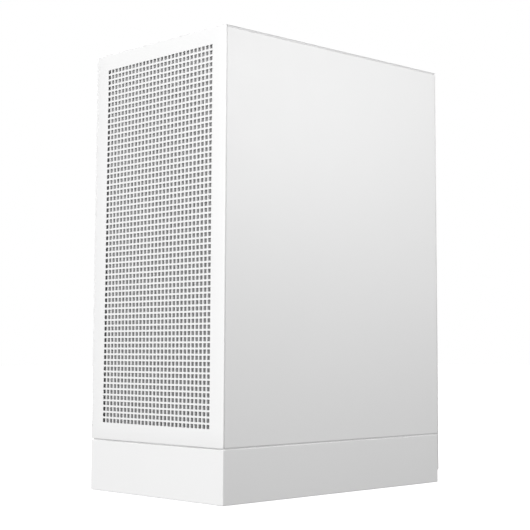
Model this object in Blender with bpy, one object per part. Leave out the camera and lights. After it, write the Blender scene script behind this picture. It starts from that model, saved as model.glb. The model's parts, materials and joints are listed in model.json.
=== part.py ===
"""Desktop computer tower: sheet steel chassis on a plinth, pull-off panels, fans, board, card, power supply.

Dimensions are millimetres; Solid turns them into metres. +X is the closed side panel, -Y the front, +Z up,
and the origin is on the floor under the middle of the tower.
"""

from math import cos, pi, radians, sin

import bmesh
import bpy
from mathutils import Vector

MM = 0.001

# driving dimensions of the case
WIDTH = 220.0
DEPTH = 330.0
HEIGHT = 480.0
SEAM_Z = 55.2          # middle of the shadow gap between plinth and upper body
SEAM = 1.0
SHEET = 1.2            # steel sheet
FLANGE = 6.0           # depth of the front and top sheets with their flanges
PANE = 4.0             # glass panel
PANE_BORDER = 16.0     # width of the steel frame behind the glass
NEAR = 0.1             # how near a level an edge must lie to be picked out for rounding
GAP = 0.3              # between pieces that touch
FOOT_HEIGHT = 13.7
PLINTH_Z0 = 0.5                    # the plinth skirt stays just clear of the floor
REVEAL = 0.6                       # shadow gap round the side panels

HALF = WIDTH / 2
FRONT = -DEPTH / 2
REAR = DEPTH / 2
PANEL_Z0 = SEAM_Z + SEAM / 2
PLINTH_Z1 = SEAM_Z - SEAM / 2
FLOOR_Z = FOOT_HEIGHT + GAP
REAR_Y = REAR - 1.5                # inner face of the rear wall
FRONT_BACK = FRONT + SHEET         # back face of the front sheet
SIDE_Y0 = FRONT_BACK + REVEAL
SIDE_Y1 = REAR_Y - GAP
TOP_Z0 = HEIGHT - 1.3
SIDE_Z1 = TOP_Z0 - REVEAL
CHASSIS_X = HALF - 6.0
FRONT_WALL_Y = -152.0
TRAY_X = 82.0
SHROUD_Z = 113.0
DECK_Z = 460.0                     # top frame, below the ports

# punched field of the front and top sheets
PITCH = 6.2
HOLE = 4.0
COLUMNS = 29
FRONT_ROWS = 63
FIELD_Z = 268.2                    # middle of the front field

# components, at their standard sizes
FAN = 120.0
FAN_DEEP = 25.0
BOARD_X = 73.5
BOARD_Z0 = 122.0
BOARD_TALL = 305.0
BOARD_DEEP = 244.0
PSU_WIDE, PSU_TALL, PSU_DEEP = 150.0, 86.0, 140.0
CARD_Z = 250.2                     # underside of the card's board
CARD_BAY_Z0 = 212.0
COOLER_X, COOLER_Z = -26.0, 345.0
REAR_FAN_X = -42.0
PCB = 1.6                          # a circuit board's thickness
PORT_Y = -138.0                    # the row of ports and the button
BUTTON_AT = (84.0, PORT_Y)
BUTTON_R = 6.8
JACK_AT = (0.0, PORT_Y)
BEZEL = (-9.0, -148.6, 96.5, -127.4)    # the strip that the ports and the button come through

WHITE = ("white_steel", (0.86, 0.86, 0.86), 0.45, 0.0)
INNER = ("inner_steel", (0.82, 0.82, 0.82), 0.5, 0.0)
BLACK = ("black_plastic", (0.03, 0.03, 0.032), 0.5, 0.0)
BLACK_STEEL = ("black_steel", (0.03, 0.03, 0.03), 0.5, 0.0)
FAN_WHITE = ("fan_plastic", (0.8, 0.8, 0.8), 0.4, 0.0)
RUBBER = ("foot_rubber", (0.05, 0.05, 0.05), 0.85, 0.0)
GLASS = ("tinted_glass", (0.25, 0.27, 0.28), 0.05, 0.0)
MESH = ("filter_mesh", (0.35, 0.35, 0.36), 0.8, 0.0)
METAL = ("bare_metal", (0.75, 0.76, 0.78), 0.35, 1.0)
BOARD = ("circuit_board", (0.02, 0.025, 0.03), 0.5, 0.0)
NICKEL = ("nickel_pipe", (0.8, 0.78, 0.75), 0.25, 1.0)
CABLE = ("cable_sleeve", (0.05, 0.05, 0.055), 0.7, 0.0)

AXES = {"X": lambda a, b, c: (c, a, b), "Y": lambda a, b, c: (a, c, b), "Z": lambda a, b, c: (a, b, c)}


# ---------------------------------------------------------------- outlines

def rect(a0, b0, a1, b1):
    return [(a0, b0), (a1, b0), (a1, b1), (a0, b1)]


def circle(a, b, radius, sides=32):
    turns = [2 * pi * i / sides for i in range(sides)]
    return [(a + radius * cos(t), b + radius * sin(t)) for t in turns]


def rounded(a0, b0, a1, b1, radius, steps=3):
    corners = [(a1 - radius, b1 - radius), (a0 + radius, b1 - radius),
               (a0 + radius, b0 + radius), (a1 - radius, b0 + radius)]
    return [(a + radius * cos(t), b + radius * sin(t))
            for k, (a, b) in enumerate(corners)
            for t in ((k + i / steps) * pi / 2 for i in range(steps + 1))]


def inset(box, by):
    return (box[0] + by, box[1] + by, box[2] - by, box[3] - by)


# ---------------------------------------------------------------- solids

class Solid:
    """A closed body between parallel levels: caps are flat faces with holes, walls join two levels."""

    def __init__(self, axis):
        self.bm = bmesh.new()
        self.axis = AXES[axis]
        self.seen = {}

    def vert(self, a, b, level):
        key = (round(a, 4), round(b, 4), round(level, 4))
        if key not in self.seen:
            self.seen[key] = self.bm.verts.new([v * MM for v in self.axis(a, b, level)])
        return self.seen[key]

    def cap(self, level, outline, holes=()):
        edges = []
        for loop in (outline, *holes):
            ring = [self.vert(a, b, level) for a, b in loop]
            for one, two in zip(ring, ring[1:] + ring[:1]):
                edges.append(self.bm.edges.get((one, two)) or self.bm.edges.new((one, two)))
        bmesh.ops.triangle_fill(self.bm, use_beauty=True, edges=edges)

    def wall(self, outline, low, high):
        for (a, b), (c, d) in zip(outline, outline[1:] + outline[:1]):
            self.bm.faces.new([self.vert(a, b, low), self.vert(c, d, low),
                               self.vert(c, d, high), self.vert(a, b, high)])

    def make(self, name, look, origin=(0, 0, 0), smooth=False):
        bmesh.ops.recalc_face_normals(self.bm, faces=self.bm.faces)
        bmesh.ops.translate(self.bm, verts=self.bm.verts, vec=-Vector(origin) * MM)
        mesh = bpy.data.meshes.new(name)
        self.bm.to_mesh(mesh)
        self.bm.free()
        return add(name, mesh, look, origin, smooth)


def add(name, mesh, look, origin=(0, 0, 0), smooth=False):
    obj = bpy.data.objects.new(name, mesh)
    obj.location = Vector(origin) * MM
    obj.data.materials.append(material(*look))
    bpy.context.scene.collection.objects.link(obj)
    if smooth:
        mesh.shade_smooth()
        mesh.set_sharp_from_angle(angle=radians(35))
    return obj


def material(name, colour, roughness, metallic):
    found = bpy.data.materials.get(name)
    if found:
        return found
    mat = bpy.data.materials.new(name)
    mat.use_nodes = True
    shader = mat.node_tree.nodes["Principled BSDF"]
    shader.inputs["Base Color"].default_value = (*colour, 1.0)
    shader.inputs["Roughness"].default_value = roughness
    shader.inputs["Metallic"].default_value = metallic
    return mat


def slab(name, look, axis, low, high, outline, holes=(), origin=(0, 0, 0), smooth=False):
    solid = Solid(axis)
    solid.cap(low, outline, holes)
    solid.cap(high, outline, holes)
    for loop in (outline, *holes):
        solid.wall(loop, low, high)
    return solid.make(name, look, origin, smooth)


def block(name, look, low, high):
    return slab(name, look, "Z", low[2], high[2], rect(low[0], low[1], high[0], high[1]))


def pan(name, look, axis, face, back, rim, box, holes=()):
    """A folded sheet: a face with holes and a rim all round it that reaches back to the level rim."""
    outer = rect(*box)
    inner = rect(*inset(box, abs(back - face)))
    solid = Solid(axis)
    solid.cap(face, outer, holes)
    solid.cap(back, inner, holes)
    solid.cap(rim, outer, [inner])
    solid.wall(outer, face, rim)
    solid.wall(inner, back, rim)
    for loop in holes:
        solid.wall(loop, face, back)
    return solid.make(name, look)


def flanged_sheet(name, look, axis, face, back, rim, box, flange_box, holes):
    """A flat sheet whose stiffening flange stands in from its edges, so that the edge itself stays thin."""
    outer = rect(*box)
    flange = rect(*flange_box)
    inner = rect(*inset(flange_box, SHEET))
    solid = Solid(axis)
    solid.cap(face, outer, holes)
    solid.cap(back, outer, [flange])
    solid.cap(back, inner, holes)
    solid.cap(rim, flange, [inner])
    solid.wall(outer, face, back)
    solid.wall(flange, back, rim)
    solid.wall(inner, back, rim)
    for loop in holes:
        solid.wall(loop, face, back)
    return solid.make(name, look)


def socketed(name, look, axis, mouth, back, outline, pockets):
    """A block with blind pockets (outline, floor level, tongues) opening at the mouth level."""
    solid = Solid(axis)
    solid.cap(back, outline)
    solid.wall(outline, back, mouth)
    solid.cap(mouth, outline, [pocket for pocket, _, _ in pockets])
    for pocket, floor, tongues in pockets:
        solid.cap(floor, pocket, [tongue for tongue, _ in tongues])
        solid.wall(pocket, floor, mouth)
        for tongue, tip in tongues:
            solid.cap(tip, tongue)
            solid.wall(tongue, floor, tip)
    return solid.make(name, look)


def round_edges(obj, radius, chosen, segments=2):
    """Bevels the edges whose middle, in millimetres, the chosen function accepts."""
    mesh = obj.data
    weights = mesh.attributes.new("bevel_weight_edge", "FLOAT", "EDGE")
    for edge in mesh.edges:
        one, two = (mesh.vertices[i].co / MM for i in edge.vertices)
        weights.data[edge.index].value = 1.0 if chosen((one + two) / 2, two - one) else 0.0
    bevel = obj.modifiers.new("Rounded", "BEVEL")
    bevel.limit_method = "WEIGHT"
    bevel.width = radius * MM
    bevel.segments = segments


def combine(obj, other, operation):
    other.hide_render = True
    other.display_type = "WIRE"
    cut = obj.modifiers.new(operation.title(), "BOOLEAN")
    cut.operation = operation
    cut.solver = "EXACT"
    cut.object = other


# ---------------------------------------------------------------- fans

SPIN_AXES = {"X": lambda u, v, w: (w, u, v), "Y": lambda u, v, w: (v, w, u), "Z": lambda u, v, w: (u, v, w)}


def rotor(name, look, centre, axis, tip, hub, deep, blades=7, lean=0.34):
    """Hub and twisted blades as one body, with its origin on the spin axis at mid depth."""
    bm = bmesh.new()
    turn = SPIN_AXES[axis]

    def point(radius, angle, level):
        return bm.verts.new(Vector(turn(radius * cos(angle), radius * sin(angle), level)) * MM)

    half = deep / 2
    root = 1.3 / hub                      # half the angle that a blade's root takes on the hub
    step = 2 * pi / blades
    low, high, roots = [], [], []
    for k in range(blades):
        for offset in (-root, root, step / 3, 2 * step / 3):
            low.append(point(hub, k * step + offset, -half))
            high.append(point(hub, k * step + offset, half))
    count = len(low)
    for i in range(count):
        j = (i + 1) % count
        quad = [low[i], low[j], high[j], high[i]]
        if i % 4 == 0:
            roots.append((i // 4, quad))
        else:
            bm.faces.new(quad)
    bm.faces.new(low[::-1])
    bm.faces.new(high)
    for k, quad in roots:
        ring = quad
        for part in (0.4, 0.75, 1.0):
            radius = hub + (tip - hub) * part
            thin = 0.9 / radius
            skew = lean * part
            chord = half * (1 - 0.1 * part)
            spots = [(-thin - skew, -chord), (thin - skew, -chord),
                     (thin + skew, chord), (-thin + skew, chord)]
            outer = [point(radius, k * step + angle, level) for angle, level in spots]
            for i in range(4):
                j = (i + 1) % 4
                bm.faces.new([ring[i], ring[j], outer[j], outer[i]])
            ring = outer
        bm.faces.new(ring)
    bmesh.ops.recalc_face_normals(bm, faces=bm.faces)
    mesh = bpy.data.meshes.new(name)
    bm.to_mesh(mesh)
    bm.free()
    return add(name, mesh, look, centre, smooth=True)


def quadrant(a, b, inner, outer, middle, spread):
    """One opening between two struts of a fan: an arc outside and an arc inside."""
    arc = [(outer, t) for t in (-1, -0.6, -0.2, 0.2, 0.6, 1)] + [(inner, t) for t in (1, 0, -1)]
    return [(a + r * cos(middle + spread(r) * t), b + r * sin(middle + spread(r) * t)) for r, t in arc]


def fan_frame(name, look, axis, centre, strut_level, open_level):
    """A square frame: four struts carry the motor cup at strut_level, the bore is open at open_level."""
    a, b = centre
    strut, cup, bore = 4.0, 21.0, FAN / 2 - 2.2
    floor = strut_level + (3.0 if open_level > strut_level else -3.0)
    outline = rounded(a - FAN / 2, b - FAN / 2, a + FAN / 2, b + FAN / 2, 7.0)
    windows = [quadrant(a, b, cup, bore - 1.5, k * pi / 2, lambda r: pi / 4 - strut / r) for k in range(4)]
    ring = circle(a, b, bore)
    solid = Solid(axis)
    solid.cap(strut_level, outline, windows)
    solid.cap(floor, ring, windows)
    solid.cap(open_level, outline, [ring])
    solid.wall(outline, strut_level, open_level)
    solid.wall(ring, floor, open_level)
    for window in windows:
        solid.wall(window, strut_level, floor)
    return solid.make(name, look, smooth=True)


def fan(prefix, axis, centre, strut_level, open_level):
    """A frame and its rotor; centre is in the plane across the axis."""
    fan_frame(f"{prefix}_frame", FAN_WHITE, axis, centre, strut_level, open_level)
    toward = 1.0 if open_level > strut_level else -1.0
    middle = strut_level + toward * (4.5 + 19.0 / 2)
    hub_at = AXES[axis](*centre, middle)
    rotor(f"{prefix}_rotor", FAN_WHITE, hub_at, axis, FAN / 2 - 4.0, 20.0, 19.0)


# ---------------------------------------------------------------- the case

def field(columns, lengths):
    """Upright slots on the punched sheet's column pitch; lengths are the slots' low and high ends."""
    return [rect((i - (columns - 1) / 2) * PITCH - HOLE / 2, low,
                 (i - (columns - 1) / 2) * PITCH + HOLE / 2, high)
            for i in range(columns) for low, high in lengths]


def base_plinth():
    wall = 2.0
    outline = [(-HALF, FRONT), (HALF, FRONT), (HALF, SIDE_Y1), (HALF - wall, SIDE_Y1),
               (HALF - wall, FRONT + wall), (-HALF + wall, FRONT + wall),
               (-HALF + wall, SIDE_Y1), (-HALF, SIDE_Y1)]
    plinth = slab("base_plinth", WHITE, "Z", PLINTH_Z0, PLINTH_Z1, outline)

    def outside(middle, along):
        upright = abs(along.z) > NEAR and abs(middle.x) > HALF - NEAR
        rim = abs(along.z) < NEAR and (abs(middle.x) > HALF - NEAR or middle.y < FRONT + NEAR)
        return upright or rim

    round_edges(plinth, 0.8, outside)


def chassis():
    floor_box = (-HALF + 2.3, FRONT + 2.3, HALF - 2.3, REAR_Y - GAP)
    floor = slab("chassis_floor", INNER, "Z", FLOOR_Z, FLOOR_Z + SHEET, rect(*floor_box),
                 [rect(-62, 33, 62, 157)])
    for name, side in (("left", -1), ("right", 1)):
        # a rail folded down from the floor, with a lip under the sliding filter
        profile = [(74, FLOOR_Z + 0.6), (74, 7.0), (68, 7.0), (68, 8.2), (72.8, 8.2), (72.8, FLOOR_Z + 0.6)]
        rail = slab(f"rail_{name}", INNER, "Y", 26, 162, [(x * side, z) for x, z in profile])
        combine(floor, rail, "UNION")

    circles = [circle(0, FIELD_Z + k * FAN, FAN / 2 - 3) for k in (-1, 0, 1)]
    pan("chassis_front", INNER, "Y", FRONT_WALL_Y, FRONT_WALL_Y + SHEET, FRONT_WALL_Y + 14,
        (-CHASSIS_X, FLOOR_Z + SHEET + GAP, CHASSIS_X, DECK_Z - GAP), circles)

    psu_hole = rect(-71, 20, 71, 99)
    port_hole = rect(27.5, 264, 74.5, 423)
    card_holes = [rect(-52, z, 62, z + 14.5) for z in (223.4, 243.7)]
    fan_hole = circle(REAR_FAN_X, COOLER_Z, FAN / 2 - 4)
    rear_half = HALF - 0.5
    rear = slab("chassis_rear", WHITE, "Y", REAR_Y, REAR, rect(-rear_half, FLOOR_Z, rear_half, TOP_Z0 - GAP),
                [psu_hole, port_hole, fan_hole, *card_holes])
    round_edges(rear, 0.4, lambda middle, along: middle.y > REAR - NEAR and abs(middle.x) > rear_half - NEAR)

    decks = [rect(-70, y, 70, y + 118) for y in (-110, 16)]
    pan("chassis_top", INNER, "Z", DECK_Z, DECK_Z + SHEET, DECK_Z + 15,
        (-CHASSIS_X, FRONT_WALL_Y, CHASSIS_X, REAR_Y - GAP), decks)

    grommets = [rounded(y, z, y + 22, z + 62, 8) for y, z in ((-112, 150), (-112, 236), (-112, 322))]
    slab("motherboard_tray", INNER, "X", TRAY_X, TRAY_X + SHEET,
         rect(-120, SHROUD_Z + SHEET + GAP, REAR_Y - GAP, DECK_Z - GAP),
         [*grommets, rounded(20, 292, 110, 402, 8)])

    left, low = -CHASSIS_X, FLOOR_Z + SHEET + GAP
    profile = [(left, low), (left + SHEET, low), (left + SHEET, SHROUD_Z), (CHASSIS_X, SHROUD_Z),
               (CHASSIS_X, SHROUD_Z + SHEET), (left, SHROUD_Z + SHEET)]
    shroud = slab("psu_shroud", INNER, "Y", -118, REAR_Y - GAP, profile)
    slot = block("shroud_cable_slot", INNER, (-75, -108, SHROUD_Z - 5), (-35, -84, SHROUD_Z + 5))
    combine(shroud, slot, "DIFFERENCE")

    walls = [(-108, 64), (-108, low), (0, low), (0, 64), (-SHEET, 64), (-SHEET, low + SHEET),
             (-108 + SHEET, low + SHEET), (-108 + SHEET, 64)]
    slab("drive_cage", INNER, "X", -78, 74, walls)

    for side, x in (("left", -88), ("right", 88)):
        for end, y in (("front", -140), ("rear", 138)):
            foot(f"foot_{end}_{side}", x, y)


def foot(name, x, y):
    """A rubber foot: a drum with a chamfered sole."""
    solid = Solid("Z")
    sole, drum = circle(x, y, 11.5, 20), circle(x, y, 13.0, 20)
    solid.cap(0.0, sole)
    solid.cap(FOOT_HEIGHT, drum)
    solid.wall(drum, 2.0, FOOT_HEIGHT)
    for (a, b), (c, d), (e, f), (g, h) in zip(sole, sole[1:] + sole[:1], drum[1:] + drum[:1], drum):
        solid.bm.faces.new([solid.vert(a, b, 0.0), solid.vert(c, d, 0.0),
                            solid.vert(e, f, 2.0), solid.vert(g, h, 2.0)])
    solid.make(name, RUBBER, smooth=True)


def panels():
    span = FRONT_ROWS * PITCH / 3
    rows = [(FIELD_Z + (k - 1.5) * span + 1.1, FIELD_Z + (k - 0.5) * span - 1.1) for k in range(3)]
    flange = (-100.5, 64.5, 100.5, 471.0)
    front = flanged_sheet("front_panel", WHITE, "Y", FRONT, FRONT_BACK, FRONT + FLANGE,
                          (-HALF, PANEL_Z0, HALF, HEIGHT), flange, field(COLUMNS, rows))
    round_edges(front, 0.5, lambda middle, along: middle.y < FRONT + NEAR and (
        abs(middle.x) > HALF - NEAR or middle.z > HEIGHT - NEAR or middle.z < PANEL_Z0 + NEAR))
    slab("front_dust_filter", MESH, "Y", FRONT + 2.6, FRONT + 4.0, rect(*inset(flange, SHEET + GAP)))

    side_box = (SIDE_Y0, PANEL_Z0, SIDE_Y1, SIDE_Z1)
    right = pan("right_panel", WHITE, "X", HALF, HALF - SHEET, CHASSIS_X + 0.5, side_box)
    round_edges(right, 1.0, lambda middle, along: middle.x > HALF - NEAR and abs(along.x) < NEAR and (
        middle.y < SIDE_Y0 + NEAR or middle.y > SIDE_Y1 - NEAR
        or middle.z < PANEL_Z0 + NEAR or middle.z > SIDE_Z1 - NEAR))
    glass = slab("left_glass", GLASS, "X", -HALF, -HALF + PANE, rounded(*side_box, 3.0))
    round_edges(glass, 0.6, lambda middle, along: abs(along.x) < NEAR and middle.x < -HALF + NEAR and (
        middle.y < SIDE_Y0 + 3 or middle.y > SIDE_Y1 - 3
        or middle.z < PANEL_Z0 + 3 or middle.z > SIDE_Z1 - 3), 1)
    frame_box = inset(side_box, 3.0)
    slab("left_panel_frame", INNER, "X", -HALF + PANE + GAP, -HALF + PANE + GAP + SHEET,
         rect(*frame_box), [rect(*inset(frame_box, PANE_BORDER))])

    columns = field(COLUMNS, [(-112, 10), (15, 137)])
    flange = (-99.5, FRONT_WALL_Y + SHEET + 0.5, 99.5, 152.0)
    top = flanged_sheet("top_panel", WHITE, "Z", HEIGHT, TOP_Z0, HEIGHT - FLANGE,
                        (-HALF + GAP, SIDE_Y0, HALF - GAP, REAR), flange,
                        [*columns, rect(*inset(BEZEL, -GAP))])
    round_edges(top, 0.5, lambda middle, along: middle.z > HEIGHT - NEAR and (
        abs(middle.x) > HALF - GAP - NEAR or middle.y > REAR - NEAR))

    solid = Solid("Z")
    box = (-70, 25, 70, 162)
    outer, inner = rect(*box), rect(*inset(box, 3))
    handle = [(-70, 25), (70, 25), (70, 162), (22, 162), (22, REAR), (-22, REAR), (-22, 162), (-70, 162)]
    solid.cap(8.6, handle)
    solid.cap(9.2, inner)
    solid.cap(12.8, handle, [inner])
    solid.wall(handle, 8.6, 12.8)
    solid.wall(inner, 9.2, 12.8)
    solid.make("bottom_dust_filter", BLACK)


# name, x, width and depth of the shell, corner radius, width, depth and offset of the tongue
PORTS = (("usb_c_port", 62.0, 9.4, 3.8, 1.7, (6.4, 0.8, 0.0)),
         ("usb_a_port_1", 42.0, 14.2, 6.8, 0.9, (11.0, 1.8, 1.2)),
         ("usb_a_port_2", 20.0, 14.2, 6.8, 0.9, (11.0, 1.8, 1.2)))
SHELL = 0.5                        # wall of a port's metal shell


def port_row():
    board_z = DECK_Z + SHEET + 2.4
    slab("port_board", BOARD, "Z", board_z, board_z + PCB, rect(-14, -150.3, 97, -127.0))
    bottom = board_z + PCB + GAP
    around = []
    for name, x, w, d, radius, (tw, td, shift) in PORTS:
        box = (x - w / 2, PORT_Y - d / 2, x + w / 2, PORT_Y + d / 2)
        tongue = rect(x - tw / 2, PORT_Y - td / 2 + shift, x + tw / 2, PORT_Y + td / 2 + shift)
        pocket = rounded(*inset(box, SHELL), radius - SHELL, 2)
        socketed(name, METAL, "Z", HEIGHT - 0.5, bottom, rounded(*box, radius, 2),
                 [(pocket, bottom + 4.0, [(tongue, HEIGHT - 1.6)])])
        around.append(rect(*inset(box, -0.5)))
    socketed("audio_jack", BLACK, "Z", TOP_Z0 - GAP, bottom, circle(*JACK_AT, 4.2, 20),
             [(circle(*JACK_AT, 1.8, 16), bottom + 1.0, [])])

    bezel = slab("port_bezel", WHITE, "Z", TOP_Z0, HEIGHT, rect(*BEZEL),
                 [*around, circle(*BUTTON_AT, BUTTON_R + 0.4, 24), circle(*JACK_AT, 2.2, 16)])
    for name, x in (("bezel_leg_left", BEZEL[0] + 0.5), ("bezel_leg_right", BEZEL[2] - 2.0)):
        leg = block(name, WHITE, (x, BEZEL[1] + 0.6, bottom), (x + 1.5, BEZEL[3] - 0.6, HEIGHT - 0.6))
        combine(bezel, leg, "UNION")

    # the button: a cap, a collar that stops against the bezel from below, and a stem
    centre = (*BUTTON_AT, HEIGHT - 3.0)
    solid = Solid("Z")
    cap, collar, stem = (circle(*BUTTON_AT, r, 24) for r in (BUTTON_R, BUTTON_R + 1.6, 2.2))
    solid.cap(HEIGHT - 0.1, cap)
    solid.wall(cap, HEIGHT - 3.0, HEIGHT - 0.1)
    solid.cap(HEIGHT - 3.0, collar, [cap])
    solid.wall(collar, HEIGHT - 4.5, HEIGHT - 3.0)
    solid.cap(HEIGHT - 4.5, collar, [stem])
    solid.wall(stem, bottom + 2.0, HEIGHT - 4.5)
    solid.cap(bottom + 2.0, stem)
    solid.make("power_button", WHITE, centre, smooth=True)


# ---------------------------------------------------------------- the components

def mainboard():
    edge = REAR_Y - 1.5
    slab("mainboard", BOARD, "X", BOARD_X, BOARD_X + PCB,
         rect(edge - BOARD_DEEP, BOARD_Z0, edge, BOARD_Z0 + BOARD_TALL))
    face = BOARD_X - GAP
    mouth, back = REAR - 0.3, 133.0
    deep = mouth - 12.0
    flat, left = 6.0, 36.0             # a flat socket's height, and the column of sockets' left edge
    pockets = []
    for z, wide, tall in ((270, 15, 14), (289, 15, flat), (299, 15, flat), (312, 15, flat), (322, 15, flat),
                          (335, 15, flat), (345, 15, flat), (358, 15, 13), (377, 30, 18)):
        blade = rect(left + 2.0, z + 3.6, left + wide - 2.0, z + 5.0)
        tongues = [(blade, mouth - 1.5)] if tall == flat else []
        pockets.append((rect(left, z, left + wide, z + tall), deep, tongues))
    socketed("rear_port_block", BLACK, "Y", mouth, back, rect(29, 266, face, 421), pockets)

    fins = [(45, 290)]
    for k in range(9):
        z = 290 + k * 14.0
        fins += [(45, z + 10.5), (58, z + 10.5), (58, z + 14.0), (45, z + 14.0)] if k < 8 else []
    outline = [*fins, (45, 412), (face, 412), (face, 290)]
    slab("regulator_heatsink", METAL, "Y", 100, 126, outline)

    for k, y in enumerate((-16, -34), 1):
        stick = [(70, 280), (70, 413), (38, 413), (36.5, 405), (36.5, 362), (39.5, 357), (39.5, 336),
                 (36.5, 331), (36.5, 288), (38, 280)]
        slab(f"memory_module_{k}", METAL, "Y", y, y + 7.0, stick)

    groove = [(face, 245.5), (62.5, 245.5), (62.5, 249.2), (68.0, 249.2), (68.0, 252.8), (62.5, 252.8),
              (62.5, 256.5), (face, 256.5)]
    slab("graphics_slot", BLACK, "Y", 22, 112, groove)
    latch = [(71.5, 16.0), (71.5, 21.0), (64.0, 21.0), (60.5, 19.0), (60.5, 14.5), (64.0, 14.5)]
    slab("graphics_slot_latch", BLACK, "Z", 246.5, 255.5, latch, origin=(70.0, 18.5, 251.0))


def cooler():
    z0, z1 = COOLER_Z - FAN / 2, COOLER_Z + FAN / 2
    x0, x1 = COOLER_X - FAN / 2, COOLER_X + FAN / 2
    pitch, fin = 4.8, 2.6
    gaps = int((FAN - fin) / pitch)
    slots = [rect(x0 + fin + k * pitch, z0 + fin, x0 + (k + 1) * pitch, z1 - fin) for k in range(gaps)]
    slab("cooler_fins", METAL, "Y", 38, 88, rect(x0, z0, x0 + gaps * pitch + fin, z1), slots)

    # a base block with four heat pipes that rise to the underside of the fins
    foot_box = rect(44, COOLER_Z - 20, 82, COOLER_Z + 20)
    pipes = [circle(63 + dy, COOLER_Z + dz, 3.0, 12) for dy, dz in ((-12, -9), (-4, 9), (4, -9), (12, 9))]
    solid = Solid("X")
    solid.cap(BOARD_X - GAP, foot_box)
    solid.cap(60.0, foot_box, pipes)
    solid.wall(foot_box, 60.0, BOARD_X - GAP)
    for pipe in pipes:
        solid.cap(x1 + GAP + 1.0, pipe)
        solid.wall(pipe, x1 + GAP + 1.0, 60.0)
    solid.make("cooler_base", NICKEL, smooth=True)

    fan("cooler_fan", "Y", (COOLER_X, COOLER_Z), 37.5, 12.5)


def fans():
    behind = FRONT_WALL_Y + SHEET + GAP
    for k in range(3):
        fan(f"front_fan_{k + 1}", "Y", (0.0, FIELD_Z + (k - 1) * FAN), behind + FAN_DEEP, behind)
    fan("rear_fan", "Y", (REAR_FAN_X, COOLER_Z), REAR_Y - GAP, REAR_Y - GAP - FAN_DEEP)


def graphics_card():
    slab("graphics_board", BOARD, "Z", CARD_Z, CARD_Z + PCB,
         [(-46, -78), (60, -78), (60, 24), (66.5, 24), (66.5, 110), (60, 110), (60, 160), (-46, 160)])
    centres = [(0.0, -12.0), (0.0, 88.0)]
    pan("graphics_shroud", BLACK, "Z", CARD_BAY_Z0, CARD_BAY_Z0 + 2, CARD_Z - 2.0, (-48, -78, 58, 157),
        [circle(x, y, 45.0) for x, y in centres])
    y, tips, count = -74.0, [], 38
    pitch, fin, tip_z, root_z = 6.0, 2.6, 231.0, 243.0
    for k in range(count):
        tips += [(y + k * pitch, tip_z), (y + k * pitch + fin, tip_z)]
        if k < count - 1:
            tips += [(y + k * pitch + fin, root_z), (y + (k + 1) * pitch, root_z)]
    outline = [*tips, (y + (count - 1) * pitch + fin, CARD_Z - GAP), (y, CARD_Z - GAP)]
    slab("graphics_heatsink", METAL, "X", -44, 50, outline)
    for k, (x, y) in enumerate(centres, 1):
        rotor(f"graphics_rotor_{k}", BLACK, (x, y, 222.5), "Z", 43.0, 16.0, 13.0, 9, 0.26)
    slab("graphics_bracket", METAL, "Y", REAR_Y - GAP - SHEET, REAR_Y - GAP, rect(-50, 215, 66, 256),
         [rect(-42, 220 + k * 6, 20, 223.5 + k * 6) for k in range(3)])


def power_supply():
    half, base = PSU_WIDE / 2, FLOOR_Z + SHEET + GAP
    back = REAR_Y - GAP
    front = back - PSU_DEEP
    middle, top = (front + back) / 2, base + PSU_TALL
    outer = rect(-half, front, half, back)
    inner = rect(*inset((-half, front, half, back), SHEET))
    intake = circle(0, middle, 62.0)
    solid = Solid("Z")
    solid.cap(top, outer)
    solid.cap(top - SHEET, inner)
    solid.cap(base + SHEET, inner, [intake])
    solid.cap(base, outer, [intake])
    solid.wall(outer, base, top)
    solid.wall(inner, base + SHEET, top - SHEET)
    solid.wall(intake, base, base + SHEET)
    housing = solid.make("psu_housing", BLACK_STEEL)
    for name, x0, x1 in (("inlet_opening", 30.0, 58.0), ("switch_opening", 10.0, 24.0)):
        hole = block(name, BLACK, (x0, back - 5, 68.0), (x1, back + 5, 89.0))
        combine(housing, hole, "DIFFERENCE")
    rotor("psu_rotor", BLACK, (0.0, middle, base + 14.0), "Z", 60.0, 20.0, 16.0, 9, 0.3)

    pins = [(rect(x - 1.0, z - 2.0, x + 1.0, z + 2.0), back - 3.0)
            for x, z in ((37.0, 77.0), (44.0, 80.0), (51.0, 77.0))]
    mouth = [(32.5, 71.5), (55.5, 71.5), (55.5, 80.5), (51.0, 86.0), (37.0, 86.0), (32.5, 80.5)]
    socketed("psu_inlet", BLACK, "Y", back + 1.2, back - 18.0, rect(30.3, 68.3, 57.7, 88.7),
             [(mouth, back - 13.0, pins)])

    # a rocker: two shallow faces that meet on the tilt axis, at rest with its lower half pressed in
    rocker = [(back - 6.0, 70.0), (back - 6.0, 87.0), (back + 0.3, 87.0),
              (back - 0.9, 78.5), (back + 0.3, 70.0)]
    switch = slab("psu_switch", BLACK, "X", 11.0, 23.0, rocker, origin=(17.0, back - 2.5, 78.5))
    switch.rotation_euler.x = radians(8.0)


def drives():
    block("hard_drive", METAL, (-74.5, -106.5, 20.0), (72.5, -1.8, 46.1))
    block("solid_state_drive", BLACK, (TRAY_X + SHEET + GAP, -20, 180), (TRAY_X + SHEET + GAP + 7, 80, 249.8))


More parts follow.
